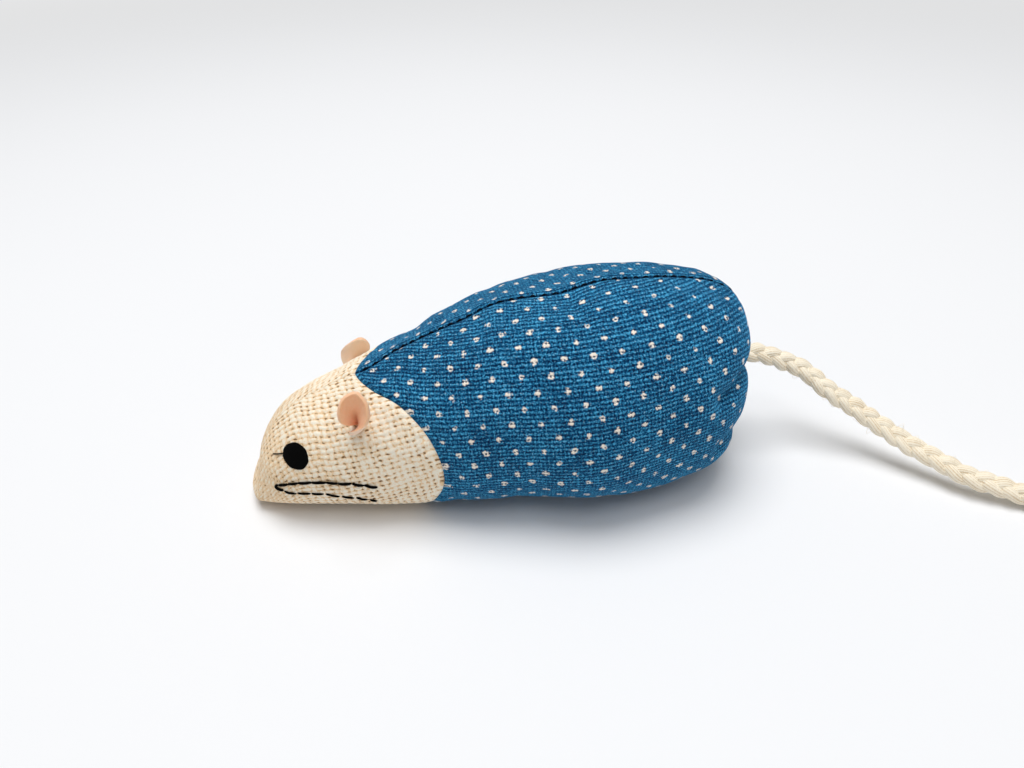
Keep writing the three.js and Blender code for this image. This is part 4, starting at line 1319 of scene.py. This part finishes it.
def felt_ear(name, side, tree):
    """A cupped petal of felt with a paler cut edge, its foot folded and tacked to the head; its
    shade attribute paints shade in the fold and light on the back and the lower rear rim.
    """
    ear = EARS[side]
    place, normal = (np.array(ear[key]) * (1, side, 1) for key in ("place", "out"))
    skin_at, _ = land(tree, [place], -normal)
    rise = float(np.clip((skin_at[0] - place) @ normal, -0.4, 0.4))
    foot = place + normal * (0.1 + rise)
    lean_back, lean_out = (math.tan(math.radians(ear[key])) for key in ("back", "away"))
    knee = foot + normal * EAR_HEIGHT * 0.25
    tip = knee + unit(np.array((lean_back, side * lean_out, 1))) * EAR_HEIGHT * ear["tall"]
    rows = 1 - (1 - np.linspace(0, 1, 44)) ** 1.35
    rows[0] = 0
    upright = rows[:, None]
    wide, front_fold, rear_fold = (
        smoothed(np.interp(rows, EAR_OUTLINE[:, 0], EAR_OUTLINE[:, k]), 5) for k in (1, 2, 3)
    )
    wide[-1] = 0
    wide = np.minimum(wide, np.sqrt(np.clip(1 - rows, 0, 1)) * 2.1)
    spine = bezier(foot, knee, tip, rows)
    tangent = unit(np.gradient(spine, axis=0))
    across = unit(np.cross(tangent, np.array((-0.3, 0.95 * side, 0))))
    hollow = unit(np.cross(across, tangent))[:, None]
    rearward, across = across[20, 0], across[:, None]
    # the petal's section: half its width, how it folds, and the rear half wrapped at the foot
    s = np.sin(np.linspace(-1, 1, 33) * math.pi / 2)
    half = (EAR_WIDTH / 2 * wide)[:, None]
    rear = np.clip(0.5 + 2.5 * s * np.sign(rearward), 0, 1)
    half = half * (1 - ear["slim"] * (1 - rear) * smoothstep(0.2, 0.9, upright))
    half = half * (1 - ear["foot"] * (1 - rear) * (1 - smoothstep(0.05, 0.55, upright)))
    fold = np.radians(front_fold[:, None] * (1 - rear) + (ear["rear"] * rear_fold)[:, None] * rear)
    sin, cos = np.sin(fold), np.cos(fold)
    forward = half * sin * np.abs(s) ** (1.05 + 0.5 * smoothstep(0.45, 0.8, upright))
    sideways = half * cos * s + np.tanh(s * 3) * EAR_THICK * 0.5 * sin
    wrapped = ear["wrap"] * (1 - smoothstep(0.08, 0.5, upright)) * rear * np.abs(s)
    sideways = sideways - 2.3 * wrapped * s**2 * np.sign(s)
    forward = forward + wrapped
    front = spine[:, None] + sideways[..., None] * across + forward[..., None] * hollow
    outward = unit((np.tanh(s * 2.5) * sin)[..., None] * across - cos[..., None] * hollow)
    turned = unit(np.cross(np.gradient(front, axis=1), np.gradient(front, axis=0)))
    turned = turned * np.sign((turned * outward).sum(-1, keepdims=True))
    outward = unit(outward + 2 * wrapped[..., None] * turned)
    fuzz = 0.05 * lumps(front, 0.9, 51) + 0.09 * lumps(front, 3.1, 52)
    front = front + outward * fuzz[..., None]
    back = front + outward * EAR_THICK
    edge_way = unit(np.gradient(front, axis=1))

    def cut_edge(end, way):
        """The rounded cut edge from the front face to the back, and its shade, with a painted
        highlight on the lower rear rim.
        """
        spots = [
            front[:, end] * (1 - share) + back[:, end] * share + way * edge_way[:, end] * bulge
            for share, bulge in EAR_EDGE
        ]
        # painted highlight: the lower rim of the wrapped rear half made nearly as pale as the back
        lit_low_rim = ear["wrap"] * (s[end] * rearward > 0) * (1 - smoothstep(0.35, 0.7, upright))
        return np.stack(spots, 1), np.repeat(0.4 + 0.5 * lit_low_rim, len(EAR_EDGE), 1)

    (last, last_shade), (first, first_shade) = cut_edge(-1, 1), cut_edge(0, -1)
    ring = np.concatenate([front, last, back[:, ::-1], first[:, ::-1]], 1)
    # painted shade deep in the fold, painted light over the whole back
    deep = bell(s, 0.3) * (1 - smoothstep(0.4, 0.8, upright))
    shade = [0.25 - 0.25 * deep, last_shade, np.ones_like(deep), first_shade]
    shade = np.maximum(np.concatenate(shade, 1), smoothstep(0.93, 1.0, upright) * 0.4)
    return loft(name, ring, {"shade": np.append(shade.ravel(), [0.5, 0.5])})


# ---------------------------------------------------------------- stitches


def running_stitches(name, path, normals, pitch, long, radius, lift, seed, floor):
    """A row of short stitches along a seam, each a twisted thread whose ends dive in."""
    path, at = even(path, 0.2)
    shares = (np.linspace(0, 1, len(rows)) for rows in (path, normals))
    normals = unit(between(*shares, normals))
    rng = np.random.default_rng(seed)
    parts = Parts()
    start = 0.6
    while start < at[-1] - 1:
        size = long * rng.uniform(0.85, 1.15)
        inside = (at >= start) & (at <= start + size)
        t = np.linspace(0, 1, inside.sum())
        bow = np.sin(math.pi * t) ** 0.6
        spot = path[inside] + normals[inside] * (lift * bow - 0.25 * (1 - bow))[:, None]
        spot[:, 2] = np.maximum(spot[:, 2], floor)
        ply = np.cos(3 * (np.arange(9) * 2 * math.pi / 9 + at[inside][:, None] * 6))
        thick = radius * (0.7 + 0.3 * bow)[:, None] * (0.94 + 0.08 * ply)
        # ply shade: painted shade between the thread's plies
        parts.tube(spot, thick, 9, 0.4 + 0.3 * ply)
        start += pitch * rng.uniform(0.93, 1.07)
    return parts.piece(name)


def seam_path(turn, low, high, sink):
    """A line in the back seam or the belly seam between two rows, and its normals."""
    rows = np.linspace(low, high, 200)
    point, normal, _ = skin_frame(rows, np.full_like(rows, turn))
    point = point - normal * sink
    point[:, 1] = wander(point[:, 0], 0.0) if turn > 0 else 0.0
    point[:, 0] += muzzle(point)
    return point, unit(normal * (1, 0, 1))


def neck_path(sink):
    """A line in the neck seam from the belly up one side and down the other, and its normals."""
    turns = np.linspace(-1, 1, 160)
    point, normal, _ = skin_frame(np.ones_like(turns), turns)
    point = point - normal * sink
    point[:, 1] -= HALF_GAP
    path, normals = (np.concatenate([t, t[-2::-1] * (1, -1, 1)]) for t in (point, normal))
    turns = np.concatenate([turns, turns[-2::-1]])
    path[:, 1] += wander_on_top(path[:, 0], np.abs(path[:, 1]), turns)
    return path, normals


def head_seam_path():
    """A line in the head seam, under the chin, round the nose and over the head."""
    halves = seam_path(-1, 0.99, 0.01, 0.4), seam_path(1, 0.01, 0.99, 0.42)
    return [np.concatenate(pair) for pair in zip(*halves)]


# ---------------------------------------------------------------- filling, rope ends

TUFT_YARNS = 44


def fibre_filling():
    """The loose filling's outer form, pinched where the turned-in seams press into it."""
    rows = np.concatenate([np.linspace(0.45, 1, 26), np.linspace(1, 1.9, 44)[1:]])
    turns = even_turns(2.2)
    _, _, per_row = skin_frame(rows[:, None], turns[None])
    pinch = 3.6 * bell(np.abs(rows[:, None] - 1) * per_row, 1.9)
    halves = []
    for side in (1, -1):
        at, normal, _ = surface(rows[:, None], turns[None], side, 1.3)
        deep = pinch + 0.25 * (1 + lumps(at, 6, 60 + side))
        at = at - normal * deep[..., None]
        at[..., 1] = side * np.maximum(side * at[..., 1], 1.5)
        for end, drop in ((0, -4.2), (-1, 4.2)):
            at[:, end, 2] += drop * np.clip((rows - 0.4) * 4, 0, 1)
        halves.append(at[:, ::side])
    # the filling's rear end, hollow for the rope's knot
    angle = np.concatenate([turns, turns[::-1]]) * math.pi / 2
    sign = np.repeat((1, -1), len(turns))
    tail = []
    for x, radius in ((56.0, 4.2), (52.4, 4.2), (51.8, 4.9), (45.2, 4.9)):
        y = sign * np.maximum(radius * np.cos(angle), 1.5)
        tail.append(np.stack([np.full_like(y, x), y, TAIL_Z + radius * np.sin(angle)], -1))
    return loft("fibre_filling", np.concatenate([np.concatenate(halves, 1), tail]))


def wrapped_knot(parts, origin, way, length, outer, strand, turned):
    """An overhand knot: one turn of the rope wound over its own run."""
    way = unit(np.asarray(way, float))
    side = unit(np.cross(way, (0, 0, 1)))
    up = np.cross(side, way)
    t = np.linspace(0, 1, 90)
    turn = 2 * math.pi * 1.45 * t + turned
    swell = np.clip(np.sin(math.pi * t), 0, 1) ** 0.4
    run = length * (0.5 - 0.33 * np.cos(math.pi * t) + 0.1 * np.sin(2 * math.pi * t))
    reach = (outer - strand) * swell
    path = origin + run[:, None] * way
    path = path + (reach * np.cos(turn))[:, None] * side + (reach * np.sin(turn))[:, None] * up
    scale = strand / 2.4
    braid(parts, path, 0.98 * scale, 0.8 * scale, 1.42 * scale, BRAID_PERIOD * scale)
    core = origin + np.linspace(0, length, 30)[:, None] * way
    core = core + (0.7 * np.sin(np.linspace(0, math.pi, 30)))[:, None] * up
    braid(parts, core, 0.9, 0.6, 1.25)
    return side, up


def rope_end(knot_name, tuft_name):
    """The knot at the rope's far end, and the tuft of loose yarns beyond it."""
    before, last = np.array(ROPE_ROUTE[-2:])
    way = unit(last - before)
    knot, tuft = Parts(), Parts()
    side, up = wrapped_knot(knot, last - way * 0.6, way, 11.4, 5.2, 2.05, 0.8)
    rng = np.random.default_rng(9)
    start = last + way * 10.0
    for _ in range(TUFT_YARNS):
        around, out = rng.uniform(0, 2 * math.pi), math.sqrt(rng.uniform(0, 1))
        spread = (side * math.cos(around) + up * math.sin(around)) * out
        long = 9.2 * rng.uniform(0.86, 1.0)
        t = np.linspace(0, 1, 16)
        sway = 0.35 * np.sin(t * rng.uniform(3, 7) + rng.uniform(0, 6))
        path = start + (t * long)[:, None] * way + spread * (1.4 + 2.1 * t**1.2)[:, None]
        path = path + (sway * t)[:, None] * (side + 0.5 * up)
        path[:, 2] = np.maximum(path[:, 2] - 0.6 * t**2, 0.45)
        ply = np.abs(np.cos((np.arange(8) * math.pi / 2 + t[:, None] * 30) / 2))
        # ply shade: painted shade between the yarn's plies
        tuft.tube(path, 0.36 * (0.9 + 0.14 * ply), 8, 0.25 + 0.7 * ply)
    return knot.piece(knot_name), tuft.piece(tuft_name)


def rope_root():
    """The rope's inner end: a straight run with a knot that holds it in the body."""
    parts = Parts()
    run = np.stack([np.linspace(58.2, 51, 30), np.zeros(30), np.full(30, TAIL_Z)], -1)
    braid(parts, run)
    wrapped_knot(parts, np.array((52.2, 0, TAIL_Z)), (-1, 0, 0), 6.4, 4.1, 1.5, 0.0)
    return parts.piece("rope_root")


# ---------------------------------------------------------------- assembly

for word, side in (("left", -1), ("right", 1)):
    body = body_shell(f"body_cloth_{word}", side)
    dress(body, BLUE, "mouse", f"body_panel_{word}")
    head = head_shell(f"head_cloth_{word}", side)
    dress(head, BURLAP, "mouse", f"head_panel_{word}")
    cloth = tree_of(head)
    for make, name, material, slot, rides, node in (
        (embroidered_eye, "satin_eye", BLACK_YARN, "black_thread", "mouse", "eye"),
        (cheek_line, "cheek_line", BLACK_YARN, "black_thread", "mouse", "cheek_stitch"),
        (felt_ear, "felt_ear", FELT, "ear_felt", f"ear_{word}", "ear"),
    ):
        dress(make(f"{name}_{word}", side, cloth), material, rides, f"{node}_{word}")

filling = fibre_filling()
dress(filling, FILL, "mouse", "stuffing")

# Each seam: name, line, material, slot, then its stitches' pitch, length, radius, lift, seed
# and least height
for seam, line, material, slot, *numbers in (
    ("back_seam", seam_path(1, 1.01, 1.985, SEAM_DIP * 0.6), NAVY_YARN, "navy_thread",
     2.4, 1.4, 0.21, 0.2, 1, 0.0),
    ("belly_seam", seam_path(-1, 1.01, 1.985, SEAM_DIP * 0.3), NAVY_YARN, "navy_thread",
     2.6, 1.75, 0.2, 0.1, 2, 0.24),
    ("neck_seam", neck_path(NECK_DIP + 0.5), NAVY_YARN, "navy_thread",
     2.6, 2.1, 0.16, 0.0, 3, 0.2),
    ("head_seam", head_seam_path(), CREAM_YARN, "cream_thread",
     2.8, 1.9, 0.16, 0.0, 4, 0.2),
):
    stitches = running_stitches(f"{seam}_stitches", *line, *numbers)
    dress(stitches, material, "mouse", f"{seam}_thread")

rope_parts = Parts()
braid(rope_parts, rope_path, roll=50)
stray_fibres(rope_parts, route, 260, 3)
rope = rope_parts.piece("braided_rope_tail")
dress(rope, ROPE_YARN, None, "tail_rope")
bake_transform(rope)
knot, tuft = rope_end("rope_end_knot", "rope_end_tuft")
dress(knot, ROPE_YARN, "tail", "tail_knot")
dress(tuft, ROPE_YARN, "tail", "tail_knot")
dress(rope_root(), ROPE_YARN, "mouse", "tail_root")

# ---------------------------------------------------------------- stage and light

WORLD_LIGHT = 0.27
LAMP_AIM = Vector((0, 0, 0.02))
# Each lamp's place in metres, size in metres and power in watts
LAMPS = {
    "overhead": ((-0.02, 0.14, 1.1), 0.75, 9.5),
    "front": ((0.05, -0.4, 0.9), 0.5, 1.7),
}


def make_stage():
    mesh = bpy.data.meshes.new("floor")
    mesh.from_pydata([(-3, -3, 0), (3, -3, 0), (3, 3, 0), (-3, 3, 0)], [], [(0, 1, 2, 3)])
    mesh.materials.append(pale_floor())
    put_in_scene("floor", mesh)


def soft_lamp(name, place, size, watts):
    """A round lamp that points at the toy's middle."""
    data = bpy.data.lights.new(name, "AREA")
    data.shape, data.size, data.energy = "DISK", size, watts
    turn = (LAMP_AIM - Vector(place)).to_track_quat("-Z", "Y").to_matrix().to_4x4()
    put_in_scene(name, data).matrix_world = Matrix.Translation(place) @ turn


def make_world():
    """Even light from all round, and a brighter white where the backdrop itself is seen."""
    world = bpy.data.worlds.new("soft_room")
    bpy.context.scene.world = world
    world.use_nodes = True
    nodes = Nodes(world.node_tree)
    light = nodes.tree.nodes["Background"]
    nodes.put(light.inputs["Color"], WHITE)
    nodes.put(light.inputs["Strength"], WORLD_LIGHT)
    backdrop = nodes.value("Background", 0, Color=WHITE, Strength=BACKDROP)
    nodes.show("World Output", nodes.seen_rays(), Value(nodes, light.outputs[0]), backdrop)


make_stage()
make_world()
for name, lamp in LAMPS.items():
    soft_lamp(name, *lamp)
bpy.context.scene.view_settings.view_transform = "Standard"
